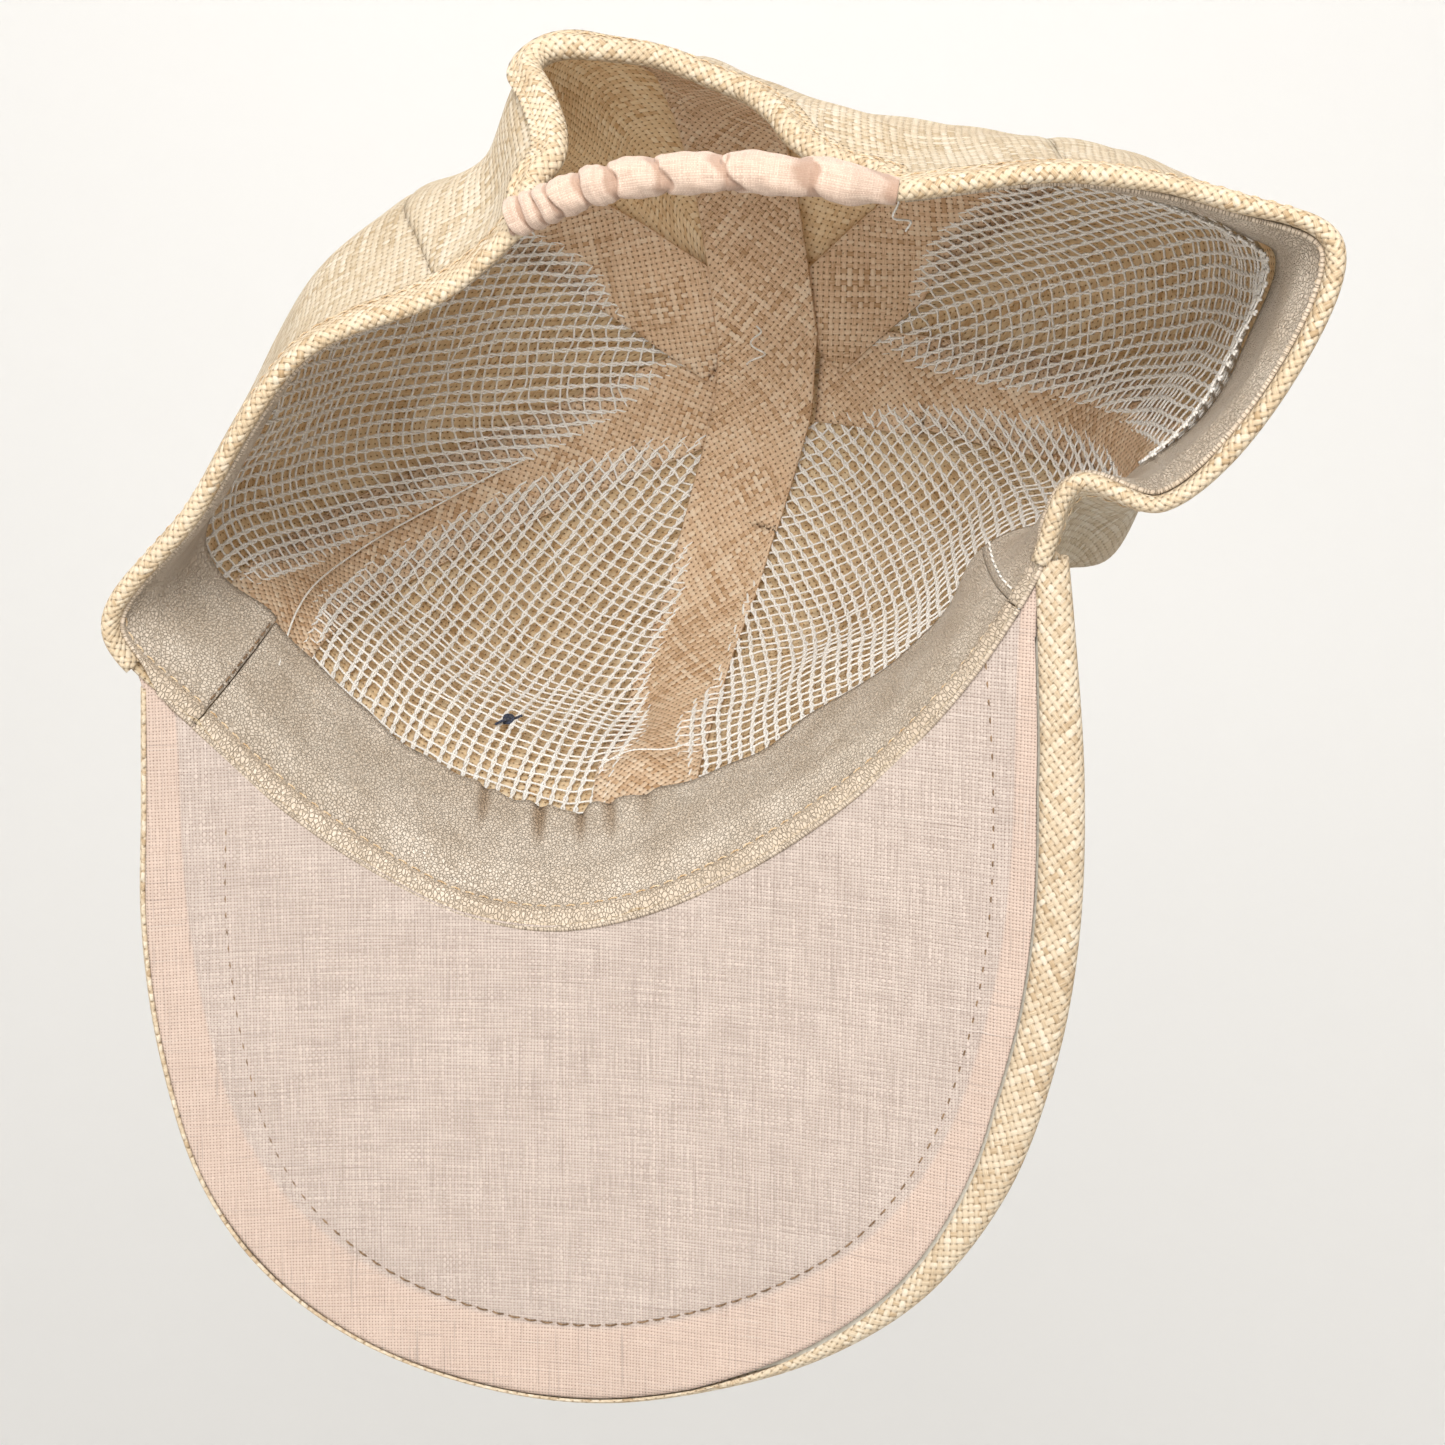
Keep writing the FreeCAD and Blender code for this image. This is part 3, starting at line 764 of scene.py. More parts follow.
    def weave(self, across: object, along: object, pitch: float,
              wander: float) -> tuple[bpy.types.NodeSocket, ...]:
        """Plain weave of two sets of strands.

        Args:
            across, along: the cloth's two directions in millimetres.
            pitch: distance between strands in millimetres.
            wander: how far strands stray from straight, in strands.

        Returns:
            Height of the surface, tint of the strand on top (0 to 1), and how open the weave is
            there (1 in the hole between four strands).
        """
        sets = []
        u, v = self.times(across, 1 / pitch), self.times(along, 1 / pitch)
        loose_u = self.noise(self.point(u, self.times(v, 0.12)), 0.7)
        loose_v = self.noise(self.point(self.times(u, 0.12), v, 5.0), 0.7)
        stray_u, stray_v = (self.times(self.total(loose, -0.5), wander * 2) for loose in (loose_u, loose_v))
        u, v = self.total(u, stray_u), self.total(v, stray_v)
        for place, other, sign, seed in ((u, v, 1.0, 0.0), (v, u, -1.0, 40.0)):
            strand = self.math("FLOOR", place)
            inside = self.total(self.times(self.total(place, self.times(strand, -1.0)), 2.0), -1.0)
            rounded = self.total(1.0, self.times(self.times(inside, inside), -1.0))
            wave = self.math("COSINE", self.times(self.total(other, -0.5, strand), math.pi))
            height = self.total(self.times(rounded, 0.75), self.times(wave, 0.42 * sign))
            tint = self.noise(self.point(self.times(strand, 3.7), self.times(other, 0.035), seed), 1.9, 1.0)
            fibre = self.point(self.times(place, 5.0), self.times(other, 0.25), seed + 9.0)
            streak = self.noise(fibre, 1.6, 2.0)
            tint = self.total(self.times(tint, 0.62), self.times(streak, 0.38))
            sets.append((height, rounded, tint))
        (height_a, round_a, tint_a), (height_b, round_b, tint_b) = sets
        over = self.math("GREATER_THAN", height_a, height_b)
        under = self.total(1.0, self.times(over, -1.0))
        tint = self.total(self.times(tint_a, over), self.times(tint_b, under))
        hole = self.ramp(self.math("MAXIMUM", round_a, round_b), 0.62, 0.12)
        return self.math("MAXIMUM", height_a, height_b), tint, hole


@dataclass(frozen=True)
class Straw:
    """Woven paper straw.

    Attributes:
        name: the finish's name.
        pitch: distance between strands.
        angle: turn of the weave on the cloth, degrees.
        light, mid, dark: strand colours.
        hole: colour between strands.
        depth: relief of the weave.
        glow: share of light let through.
        wander: how uneven the strands are.
        gap: how strongly the holes between strands show.
    """

    name: str
    pitch: float
    angle: float
    light: tuple[float, float, float]
    mid: tuple[float, float, float]
    dark: tuple[float, float, float]
    hole: tuple[float, float, float]
    depth: float = 0.28
    glow: float = 0.22
    wander: float = 0.3
    gap: float = 0.6

    def make(self) -> bpy.types.Material:
        """Builds the material."""
        g = Graph(self.name)
        across, along = g.cloth(self.angle)
        height, tint, hole = g.weave(across, along, self.pitch, self.wander)
        patch = g.noise(g.place(), 60.0, 3.0, 0.6)
        colour = g.mix(g.ramp(tint, 0.34, 0.52), tone(*self.dark), tone(*self.mid))
        colour = g.mix(g.ramp(tint, 0.49, 0.64), colour, tone(*self.light))
        colour = g.mix(g.ramp(patch, 0.35, 0.75, 0.0, 0.35), colour, tone(*self.mid))
        valley = g.ramp(height, 0.75, 0.1, 0.0, 0.45)
        colour = g.mix(valley, colour, tone(*self.dark))
        colour = g.mix(g.times(hole, self.gap), colour, tone(*self.hole))
        fibre = g.noise(g.point(g.times(across, 2.0), g.times(along, 2.0)), 3.0, 2.0)
        g.feed(g.shader.inputs["Base Color"], colour)
        g.feed(g.shader.inputs["Roughness"], g.ramp(tint, 0.2, 0.8, 0.82, 0.62))
        g.shader.inputs["Specular IOR Level"].default_value = 0.3
        g.bump(g.total(height, g.times(fibre, 0.22), g.times(hole, -0.5)), self.depth)
        if self.glow:
            g.glow_through(self.glow, colour)
        return g.material


@dataclass(frozen=True)
class Leatherette:
    """Fine-grained leatherette with a half gloss.

    Attributes:
        name: the finish's name.
        face, shade: colours of the face.
        margin: colour of the folded margin beside the rim.
        deep: colour of the painted shade in the valleys of the front's folds.
    """

    name: str = "sweatband_leatherette"
    face: tuple[float, float, float] = (212, 200, 185)
    shade: tuple[float, float, float] = (196, 182, 165)
    margin: tuple[float, float, float] = (198, 175, 147)
    deep: tuple[float, float, float] = (146, 120, 92)

    def make(self) -> bpy.types.Material:
        """Builds the material."""
        g = Graph(self.name)
        across, along = g.cloth()
        flat = g.point(across, along)
        grain = g.cells(flat, 1.0)
        creases = g.cells(flat, 1.5, "DISTANCE_TO_EDGE")
        soft = g.noise(flat, 0.09, 3.0)
        colour = g.mix(g.ramp(soft, 0.3, 0.7), tone(*self.shade), tone(*self.face))
        colour = g.mix(g.ramp(creases, 0.09, 0.0, 0.0, 0.3), colour, tone(*self.margin))
        colour = g.mix(g.ramp(g.mark("margin"), 0.3, 0.7, 0.0, 0.35), colour, tone(*self.margin))
        # Painted shade: the valleys of the front's folds are darkened towards the deep colour.
        colour = g.mix(g.ramp(g.mark("fold_shade"), 0.1, 0.9, 0.0, 0.75), colour, tone(*self.deep))
        g.feed(g.shader.inputs["Base Color"], colour)
        g.feed(g.shader.inputs["Roughness"], g.ramp(soft, 0.2, 0.8, 0.42, 0.32))
        g.shader.inputs["Specular IOR Level"].default_value = 0.45
        g.bump(g.total(g.times(grain, -0.6), g.ramp(creases, 0.0, 0.12, 0.0, 0.8)), 0.36)
        return g.material


@dataclass(frozen=True)
class Linen:
    """Linen-like plain weave with slubs.

    Attributes:
        name: the finish's name.
        pale, grey: thread colours.
        margin: warmer colour near the edge.
        gap: colour between threads.
        pitch: distance between threads.
    """

    name: str = "visor_linen"
    pale: tuple[float, float, float] = (212, 198, 189)
    grey: tuple[float, float, float] = (160, 145, 136)
    margin: tuple[float, float, float] = (208, 181, 164)
    gap: tuple[float, float, float] = (118, 98, 86)
    pitch: float = 0.62

    def make(self) -> bpy.types.Material:
        """Builds the material."""
        g = Graph(self.name)
        across, along = g.cloth(1.5)
        height, tint, hole = g.weave(across, along, self.pitch, 0.35)
        rows = g.noise(g.point(g.times(across, 0.05), g.times(along, 2.2), 3.0), 1.0, 2.0, 0.6)
        columns = g.noise(g.point(g.times(across, 2.0), g.times(along, 0.05), 9.0), 1.0, 2.0, 0.6)
        slub = g.math("MAXIMUM", g.ramp(rows, 0.6, 0.78), g.ramp(columns, 0.62, 0.8))
        thin = g.math("MAXIMUM", g.ramp(rows, 0.42, 0.26), g.ramp(columns, 0.42, 0.26))
        cloud = g.noise(g.point(across, along), 0.045, 3.0)
        colour = g.mix(g.ramp(tint, 0.25, 0.75, 0.15, 0.85), tone(*self.grey), tone(*self.pale))
        colour = g.mix(g.ramp(g.mark("margin"), 0.25, 0.75, 0.05, 0.55), colour, tone(*self.margin))
        colour = g.mix(g.times(slub, 0.8), colour, tone(*self.pale))
        colour = g.mix(g.times(thin, 0.75), colour, tone(*self.grey))
        colour = g.mix(g.ramp(cloud, 0.35, 0.7, 0.0, 0.1), colour, tone(*self.grey))
        colour = g.mix(g.ramp(height, 0.75, 0.05, 0.0, 0.8), colour, tone(*self.gap))
        colour = g.mix(g.times(hole, 0.8), colour, tone(*self.gap))
        g.feed(g.shader.inputs["Base Color"], colour)
        g.shader.inputs["Roughness"].default_value = 0.88
        g.shader.inputs["Sheen Weight"].default_value = 0.15
        g.bump(g.total(height, g.times(slub, 0.6)), 0.13)
        return g.material


@dataclass(frozen=True)
class Cotton:
    """Thin cotton or thread, by its colours.

    Attributes:
        name: the finish's name.
        light, dark: colours of the threads; dark is also the painted shade in the casing's creases.
        pitch: distance between threads, or 0 for a single thread's twist.
        glow: share of light let through.
    """

    name: str
    light: tuple[float, float, float]
    dark: tuple[float, float, float]
    pitch: float = 0.0
    glow: float = 0.0

    def make(self) -> bpy.types.Material:
        """Builds the material."""
        g = Graph(self.name)
        across, along = g.cloth()
        if self.pitch:
            height, tint, hole = g.weave(across, along, self.pitch, 0.2)
            share = g.total(g.ramp(tint, 0.3, 0.7, 0.0, 0.5), g.times(hole, -0.3),
                            g.ramp(height, 0.1, 0.8, 0.0, 0.4))
            colour = g.mix(share, tone(*self.dark), tone(*self.light))
            # Painted shade: the creases between the casing's puckers are darkened towards the dark colour.
            colour = g.mix(g.ramp(g.mark("crease_shade"), 0.2, 0.9, 0.0, 0.7), colour, tone(*self.dark))
            g.bump(height, 0.08)
        else:
            twist = g.math("SINE", g.times(g.total(g.times(across, 6.0), g.times(along, 5.0)), 2.0))
            fuzz = g.noise(g.place(), 900.0, 2.0)
            share = g.total(g.times(twist, 0.18), g.ramp(fuzz, 0.3, 0.7))
            colour = g.mix(share, tone(*self.dark), tone(*self.light))
            g.bump(g.total(twist, fuzz), 0.05)
        g.feed(g.shader.inputs["Base Color"], colour)
        g.shader.inputs["Roughness"].default_value = 0.85
        g.shader.inputs["Sheen Weight"].default_value = 0.2
        if self.glow:
            g.glow_through(self.glow, colour)
        return g.material


@dataclass(frozen=True)
class Hidden:
    """Finish of the pieces sewn inside: the visor's board and the elastic's core.

    Attributes:
        name: the finish's name.
        base, speck: colours.
        scale: pattern size per metre.
        ribbed: braided ribs across, as on elastic.
    """

    name: str
    base: tuple[float, float, float]
    speck: tuple[float, float, float]
    scale: float
    ribbed: bool = False

    def make(self) -> bpy.types.Material:
        """Builds the material."""
        g = Graph(self.name)
        place = g.place()
        grain = g.noise(place, self.scale, 4.0, 0.65)
        if self.ribbed:
            split = g.tree.nodes.new("ShaderNodeSeparateXYZ")
            g.feed(split.inputs[0], place)
            ribs = g.math("SINE", g.times(split.outputs[0], 9000.0))
            grain = g.total(g.times(grain, 0.7), g.times(ribs, 0.25))
        colour = g.mix(g.ramp(grain, 0.3, 0.7), tone(*self.base), tone(*self.speck))
        g.feed(g.shader.inputs["Base Color"], colour)
        g.feed(g.shader.inputs["Roughness"], g.ramp(grain, 0.2, 0.8, 0.75, 0.6))
        g.bump(grain, 0.12)
        return g.material


class Finish(Enum):
    """The cap's finishes."""

    STRAW_OUT = Straw("straw_outside", 1.35, 0.0, (235, 225, 207), (223, 207, 181), (195, 172, 138),
                      (150, 120, 84), depth=0.3, glow=0.25, gap=0.4)
    # Painted light: the same straw as outside, coloured brighter and warmer for the crown's inner face to
    # stand in for light shining through and lighting the dim interior.
    STRAW_IN = Straw("straw_inside_painted_light", 1.35, 0.0, (252, 236, 208), (244, 221, 184), (219, 184, 138),
                     (124, 86, 50), glow=0.42, gap=0.8)
    STRAW_HEM = Straw("straw_hem", 1.35, 38.0, (229, 217, 197), (215, 197, 170), (186, 160, 127),
                      (142, 112, 78), depth=0.3, glow=0.1, gap=0.4)
    TAPE = Straw("seam_tape", 1.25, 45.0, (250, 232, 207), (238, 209, 176), (196, 156, 115),
                 (112, 74, 44), depth=0.32, glow=0.3, wander=0.22, gap=0.85)
    BINDING = Straw("edge_binding", 1.2, 45.0, (233, 220, 198), (220, 200, 170), (184, 155, 118),
                    (136, 104, 70), depth=0.34, glow=0.1, gap=0.3)
    LEATHERETTE = Leatherette()
    LINEN = Linen()
    CASING = Cotton("casing_cotton", (242, 220, 202), (178, 142, 120), pitch=0.42, glow=0.08)
    NET = Cotton("net_thread", (255, 253, 249), (248, 242, 232), glow=0.15)
    WHITE_THREAD = Cotton("white_thread", (252, 250, 245), (230, 224, 214))
    STRAW_THREAD = Cotton("straw_thread", (236, 214, 180), (190, 156, 114))
    BROWN_THREAD = Cotton("brown_thread", (150, 122, 92), (100, 76, 52))
    NAVY_THREAD = Cotton("navy_thread", (52, 58, 78), (24, 28, 44))
    BOARD = Hidden("visor_board", (226, 221, 208), (206, 199, 184), 900.0)
    ELASTIC = Hidden("elastic_core", (236, 233, 226), (208, 203, 192), 1500.0, ribbed=True)

    def dress(self, *pieces: bpy.types.Object) -> None:
        """Puts the finish on pieces as their next material slot.

        Args:
            pieces: the pieces to dress.
        """
        material = bpy.data.materials.get(self.value.name) or self.value.make()
        for piece in pieces:
            piece.data.materials.append(material)


@dataclass(frozen=True)
class BrowBend:
    """Two points near the brow seam, which nothing reads; the crown's brow is not bent with the visor."""

    start: tuple[float, float, float] = (0.022, -0.040, 0.052)
    end: tuple[float, float, float] = (0.010, -0.062, -0.004)

    def follow(self, piece: bpy.types.Object) -> None:
        """Bakes a crown piece's placement into its mesh; the piece is not bent."""
        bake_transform(piece)


BEND = BrowBend()


def settle(piece: bpy.types.Object, slot: str, *nodes: str, brow: bool = False,
           body: str = "crown") -> bpy.types.Object:
    """Hides the solids a finished piece replaces and sets what it moves with.

    Args:
        piece: the finished piece.
        slot: the record's material slot; not used.
        nodes: the solids it replaces.
        brow: it crosses the brow seam; it is baked in place instead of riding on a body.
        body: the body it rides on otherwise.

    Returns:
        The same piece.
    """
    if nodes:
        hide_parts(*nodes)
    if brow:
        BEND.follow(piece)
    else:
        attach(piece, body)
    LOG.info("%s: %d faces", piece.name, len(piece.data.polygons))
    return piece


@dataclass
class CrownPanels:
    """The six straw panels, from the rim to the button.

    Attributes:
        form: the crown's shape.
        spacing: size of the mesh's squares.
        thickness: thickness of the straw cloth.
        apex_hole: distance from the apex where the panels end.
    """

    form: CapForm
    spacing: float = 1.7
    thickness: float = 0.6
    apex_hole: float = 4.0
    spans: dict[str, tuple[Seam, Seam]] = field(default_factory=lambda: {
        "crown_front_left": (Seam.FRONT, Seam.FRONT_LEFT),
        "crown_side_left": (Seam.FRONT_LEFT, Seam.BACK_LEFT),
        "crown_back_left": (Seam.BACK_LEFT, Seam.BACK),
        "crown_back_right": (Seam.BACK, Seam.BACK_RIGHT),
        "crown_side_right": (Seam.BACK_RIGHT, Seam.FRONT_RIGHT),
        "crown_front_right": (Seam.FRONT_RIGHT, Seam.FRONT_AGAIN),
    })

    def opening(self, station: Array, height: Array) -> Array:
        """Which points lie inside the back's half-moon opening.

        Args:
            station: places round the rim.
            height: distances up the wall, millimetres.

        Returns:
            True for each point inside.
        """
        edge = open_curve(np.array(ARCH) * (10, 1), np.linspace(0, 1, 90)) / (10, 1)
        edge = np.concatenate([edge, [[edge[-1, 0], -20], [edge[0, 0], -20]]])
        inside = np.zeros(station.shape, bool)
        for (s1, h1), (s2, h2) in zip(edge, np.roll(edge, -1, axis=0)):
            crosses = (h1 > height) != (h2 > height)
            rise = np.where(abs(h2 - h1) < 1e-9, 1e-9, h2 - h1)
            inside ^= crosses & (station < (s2 - s1) * (height - h1) / rise + s1)
        return inside

    def build(self) -> None:
        """Builds and dresses all six panels."""
        for name, (first, last) in self.spans.items():
            width = np.linalg.norm(self.form.wall(np.linspace(first, last, 60)[1:], 20.0)
                                   - self.form.wall(np.linspace(first, last, 60)[:-1], 20.0), axis=1).sum()
            stations = np.linspace(first, last, int(width / self.spacing) + 2)
            shares = np.linspace(0, 1, 84)
            heights = (self.form.length(stations) - self.apex_hole)[None, :] * shares[:, None]
            grid = np.broadcast_to(stations, heights.shape)
            edge = np.minimum(grid - first, last - grid) / (last - first) * width
            groove = 0.5 * np.exp(-(edge / 1.3) ** 2)
            points = self.form.layer(grid, heights, groove)
            run = arc_lengths(points, 1)
            across = run - run[:, [run.shape[1] // 2]]
            cloth = np.stack([across, heights], axis=-1)
            middles = [(values[1:, 1:] + values[:-1, :-1]) / 2 for values in (grid, heights)]
            keep = ~self.opening(*middles)
            piece = grid_object("straw_" + name[6:], points, cloth, keep=keep)
            Finish.STRAW_OUT.dress(piece)
            # The inner faces take the straw copy painted brighter and warmer as painted light.
            Finish.STRAW_IN.dress(piece)
            thicken(piece, self.thickness, inner_slot=1)
            brow = name.startswith("crown_front") or name.startswith("crown_side")
            settle(piece, "straw", name, brow=brow)


@dataclass
class LiningNets:
    """Gauze nets: twisted pairs of threads up the wall, single threads round it.

    Attributes:
        form: the crown's shape.
        cell: size of the net's openings.
        depth: distance from the crown's outer face.
        billow: how far a net hangs off the straw in its middle.
        thread: radius of a thread.
    """

    form: CapForm
    cell: float = 2.8
    depth: float = 1.6
    billow: float = 2.6
    thread: float = 0.31

    def spot(self, stations: Array, share: Array, low: Array, first: float, last: float,
             extra: Array) -> Array:
        """Points of a net at stations and shares of the way up its panel.

        Args:
            stations: places round the rim.
            share: how far up the panel, 0 to 1.
            low: height of the net's lower edge.
            first, last: stations of its side edges.
            extra: further distance inwards.

        Returns:
            Points on the net.
        """
        height = low + (self.form.length(stations) - 16.0 - low) * share
        middle = 1 - (2 * (stations - first) / (last - first) - 1) ** 2
        hang = self.billow * np.clip(middle, 0, 1) ** 0.7
        hang = hang * smooth(height, 34, 60) * smooth(1 - share, 0, 0.35)
        return self.form.layer(stations, height, self.depth + hang + extra)

    def panel(self, name: str, first: float, last: float, seed: int, loose_hem: bool) -> None:
        """One net. A loose hem lies over the sweatband's top edge.

        Args:
            name: the solid it replaces.
            first, last: stations of its side edges.
            seed: start of its random draws.
            loose_hem: whether its lower edge lies over the sweatband.
        """
        rng = np.random.default_rng(seed)
        low = 27.0 if loose_hem else 9.0
        stations = np.linspace(first + 0.03, last - 0.03, 81)
        levels = np.linspace(0, 1, 101)
        table = self.spot(*np.broadcast_arrays(stations[None, :], levels[:, None]), low, first, last, 0.0)
        run = arc_lengths(table, 1)
        run = run - run[:, [40]]
        tall = float(arc_lengths(table[:, 40], 0)[-1])
        rows = int(tall / self.cell)
        threads = Threads()
        for i in range(int(run.min() / self.cell), int(run.max() / self.cell) + 1):
            drift = np.interp(levels, np.linspace(0, 1, 14), rng.normal(0, 0.28, 14))
            across = i * self.cell + drift
            start = rng.uniform(-0.03, 0.01) if loose_hem else 0.0
            inside = (across > run[:, 0] + 0.3) & (across < run[:, -1] - 0.3) & (levels >= start)
            if inside.sum() < 4:
                continue
            where = levels[inside]
            twist = where * rows * math.pi
            for side in (1, -1):
                offset = across[inside] + side * 0.38 * np.cos(twist)
                station = np.array([np.interp(a, r, stations) for a, r in zip(offset, run[inside])])
                lift = side * 0.2 * np.sin(twist)
                if loose_hem:
                    lift = lift + 4.6 * smooth(-where, -0.16, -0.02)
                threads.add(self.spot(station, where, low, first, last, lift), self.thread)
        for j in range(rows + 1):
            share = min(1.0, (j + rng.uniform(-0.12, 0.12)) / rows)
            if share < 0:
                continue
            index = min(100, int(round(share * 100)))
            count = max(3, int((run[index, -1] - run[index, 0]) / 1.3))
            across = np.linspace(run[index, 0] + 0.3, run[index, -1] - 0.3, count)
            station = np.interp(across, run[index], stations)
            wave = np.interp(np.linspace(0, 1, count), np.linspace(0, 1, 12), rng.normal(0, 0.0035, 12))
            lift = 0.12 * np.sin(across / self.cell * math.pi)
            if loose_hem:
                lift = lift + 4.6 * smooth(-share, -0.16, -0.02)
            level = np.clip(share + wave, 0, 1)
            threads.add(self.spot(station, level, low, first, last, lift), self.thread * 0.85)
        piece = threads.build("gauze_" + name[4:])
        Finish.NET.dress(piece)
        settle(piece, "net", name, brow=True)
        LOG.info("%s: %d rows of cells", name, rows)

    def build(self) -> None:
        """Builds the four nets."""
        self.panel("net_front_left", Seam.FRONT, Seam.FRONT_LEFT, 11, False)
        self.panel("net_side_left", Seam.FRONT_LEFT, Seam.BACK_LEFT, 12, False)
        self.panel("net_side_right", Seam.BACK_RIGHT, Seam.FRONT_RIGHT, 13, True)
        self.panel("net_front_right", Seam.FRONT_RIGHT, Seam.FRONT_AGAIN, 14, False)


@dataclass
class SeamTapes:
    """Bias-cut straw tapes over the crown's seams.

    Attributes:
        form: the crown's shape.
        width: width of a tape.
        thickness: thickness of the tape.
        side_depth, centre_depth: distance from the crown's outer face.
        flat_top: distance from the apex inside which a tape is laid out in plan.
    """

    form: CapForm
    width: float = 22.0
    thickness: float = 0.6
    side_depth: float = 2.1
    centre_depth: float = 3.3
    flat_top: float = 36.0

    def profile(self, offsets: Array, rows: int, seed: int) -> Array:
        """How far each point stands in from the tape's depth: seam ridge, sewn dips, loose edges.

        Args:
            offsets: distances from the tape's middle.
            rows: how many rows it has.
            seed: start of its random draws.

        Returns:
            Distances inwards, rows by columns.
        """
        rng = np.random.default_rng(seed)
        x = np.abs(offsets)[None, :]
        ridge = 0.5 * np.exp(-(x / 4.5) ** 2)
        dip = -0.3 * np.exp(-((x - self.width * 0.41) / 0.9) ** 2)
        curl = np.interp(np.linspace(0, 1, rows), np.linspace(0, 1, 22), rng.uniform(0.0, 0.7, 22))
        return ridge + dip + curl[:, None] * smooth(x, self.width * 0.43, self.width * 0.5)

    def rising(self, station: float, low: float, stop: float, offsets: Array, depth: Array) -> Array:
        """Grid of a tape from a height up its seam to a distance from the apex.

        Args:
            station: the seam's station.
            low: height where the tape starts.
            stop: distance from the apex where it ends.
            offsets: distances across.
            depth: distance inside the crown's outer face, rows by columns.

        Returns:
            Points, rows by columns.
        """
        length = float(self.form.length(np.array(station)))
        bend = length - self.flat_top
        heights = np.arange(low, bend, 1.5)
        stations = np.full(heights.shape, float(station))
        tops = np.arange(bend, length - stop, 1.5)
        total = len(heights) + len(tops)
        wall = self.form.strip(stations, heights, offsets, depth[:len(heights)])
        line = self.form.wall(np.full(tops.shape, float(station)), tops)
        shoulder = self.form.shoulder(np.array(float(station)))
        inward = unit(np.array([*self.form.apex]) - shoulder[:2])
        across = np.array([inward[1], -inward[0]])
        x = line[:, None, 0] + across[0] * offsets
        y = line[:, None, 1] + across[1] * offsets
        dome = self.form.dome(x, y, depth[len(heights):total])
        return np.concatenate([wall, dome])

    def count(self, station: float, low: float, stop: float) -> int:
        """Number of rows that rising() gives.

        Args:
            station: the seam's station.
            low: height where the tape starts.
            stop: distance from the apex where it ends.

        Returns:
            How many rows.
        """
        length = float(self.form.length(np.array(station)))
        return len(np.arange(low, length - self.flat_top, 1.5)) + len(
            np.arange(length - self.flat_top, length - stop, 1.5))

    def finish(self, name: str, points: Array, offsets: Array, brow: bool) -> None:
        """Turns a grid of points into a finished tape with its two rows of stitches.

        Args:
            name: the solid it replaces.
            points: its grid of points.
            offsets: distances across, one for each column.
            brow: it crosses the brow seam.
        """
        run = arc_lengths(points, 0)[:, [len(offsets) // 2]]
        cloth = np.stack(np.broadcast_arrays(offsets[None, :], run), axis=-1)
        piece = grid_object("seam_" + name, points, cloth, flip=True)
        Finish.TAPE.dress(piece)
        thicken(piece, self.thickness)
        settle(piece, "straw_tape", name, brow=brow)
        threads = Threads()
        normal = unit(np.cross(np.gradient(points, axis=0), np.gradient(points, axis=1)))
        for column in (2, len(offsets) - 3):
            threads.stitches(points[:, column], -normal[:, column], 3.0, 2.2, 0.16, 0.3)
        seams = threads.build("seam_" + name + "_stitches")
        Finish.STRAW_THREAD.dress(seams)
        settle(seams, "straw_tape", brow=brow)

    def build(self) -> None:
        """Builds the five tapes."""
        offsets = np.linspace(-0.5, 0.5, 17) * self.width
        places = (("tape_front_left", Seam.FRONT_LEFT, 0.0), ("tape_back_left", Seam.BACK_LEFT, 0.8),
                  ("tape_back_right", Seam.BACK_RIGHT, 0.8), ("tape_front_right", Seam.FRONT_RIGHT, 0.0))
        for name, station, lift in places:
            rows = self.count(station, 10.0, 9.0)
            rise = lift * smooth(np.linspace(0, 1, rows), 0.7, 0.85)[:, None]
            depth = self.side_depth + self.profile(offsets, rows, int(station)) + rise
            points = self.rising(station, 10.0, 9.0, offsets, depth)
            self.finish(name, points, offsets, name.startswith("tape_front"))
        front_rows, back_rows = self.count(Seam.FRONT, 10.0, 6.0), self.count(Seam.BACK, 47.0, 6.0)
        rows = front_rows + back_rows
        climb = smooth(np.arange(rows), 26, 50)[:, None]
        depth = self.profile(offsets, rows, 5) + self.side_depth
        depth = depth + climb * (self.centre_depth - self.side_depth)
        depth = depth + 1.1 * np.exp(-((np.arange(rows) - front_rows) / 12.0) ** 2)[:, None]
        front = self.rising(Seam.FRONT, 10.0, 6.0, offsets, depth[:front_rows])
        back = self.rising(Seam.BACK, 47.0, 6.0, offsets, depth[front_rows:][::-1])
        self.finish("tape_centre", np.concatenate([front, back[::-1, ::-1]]), offsets, True)


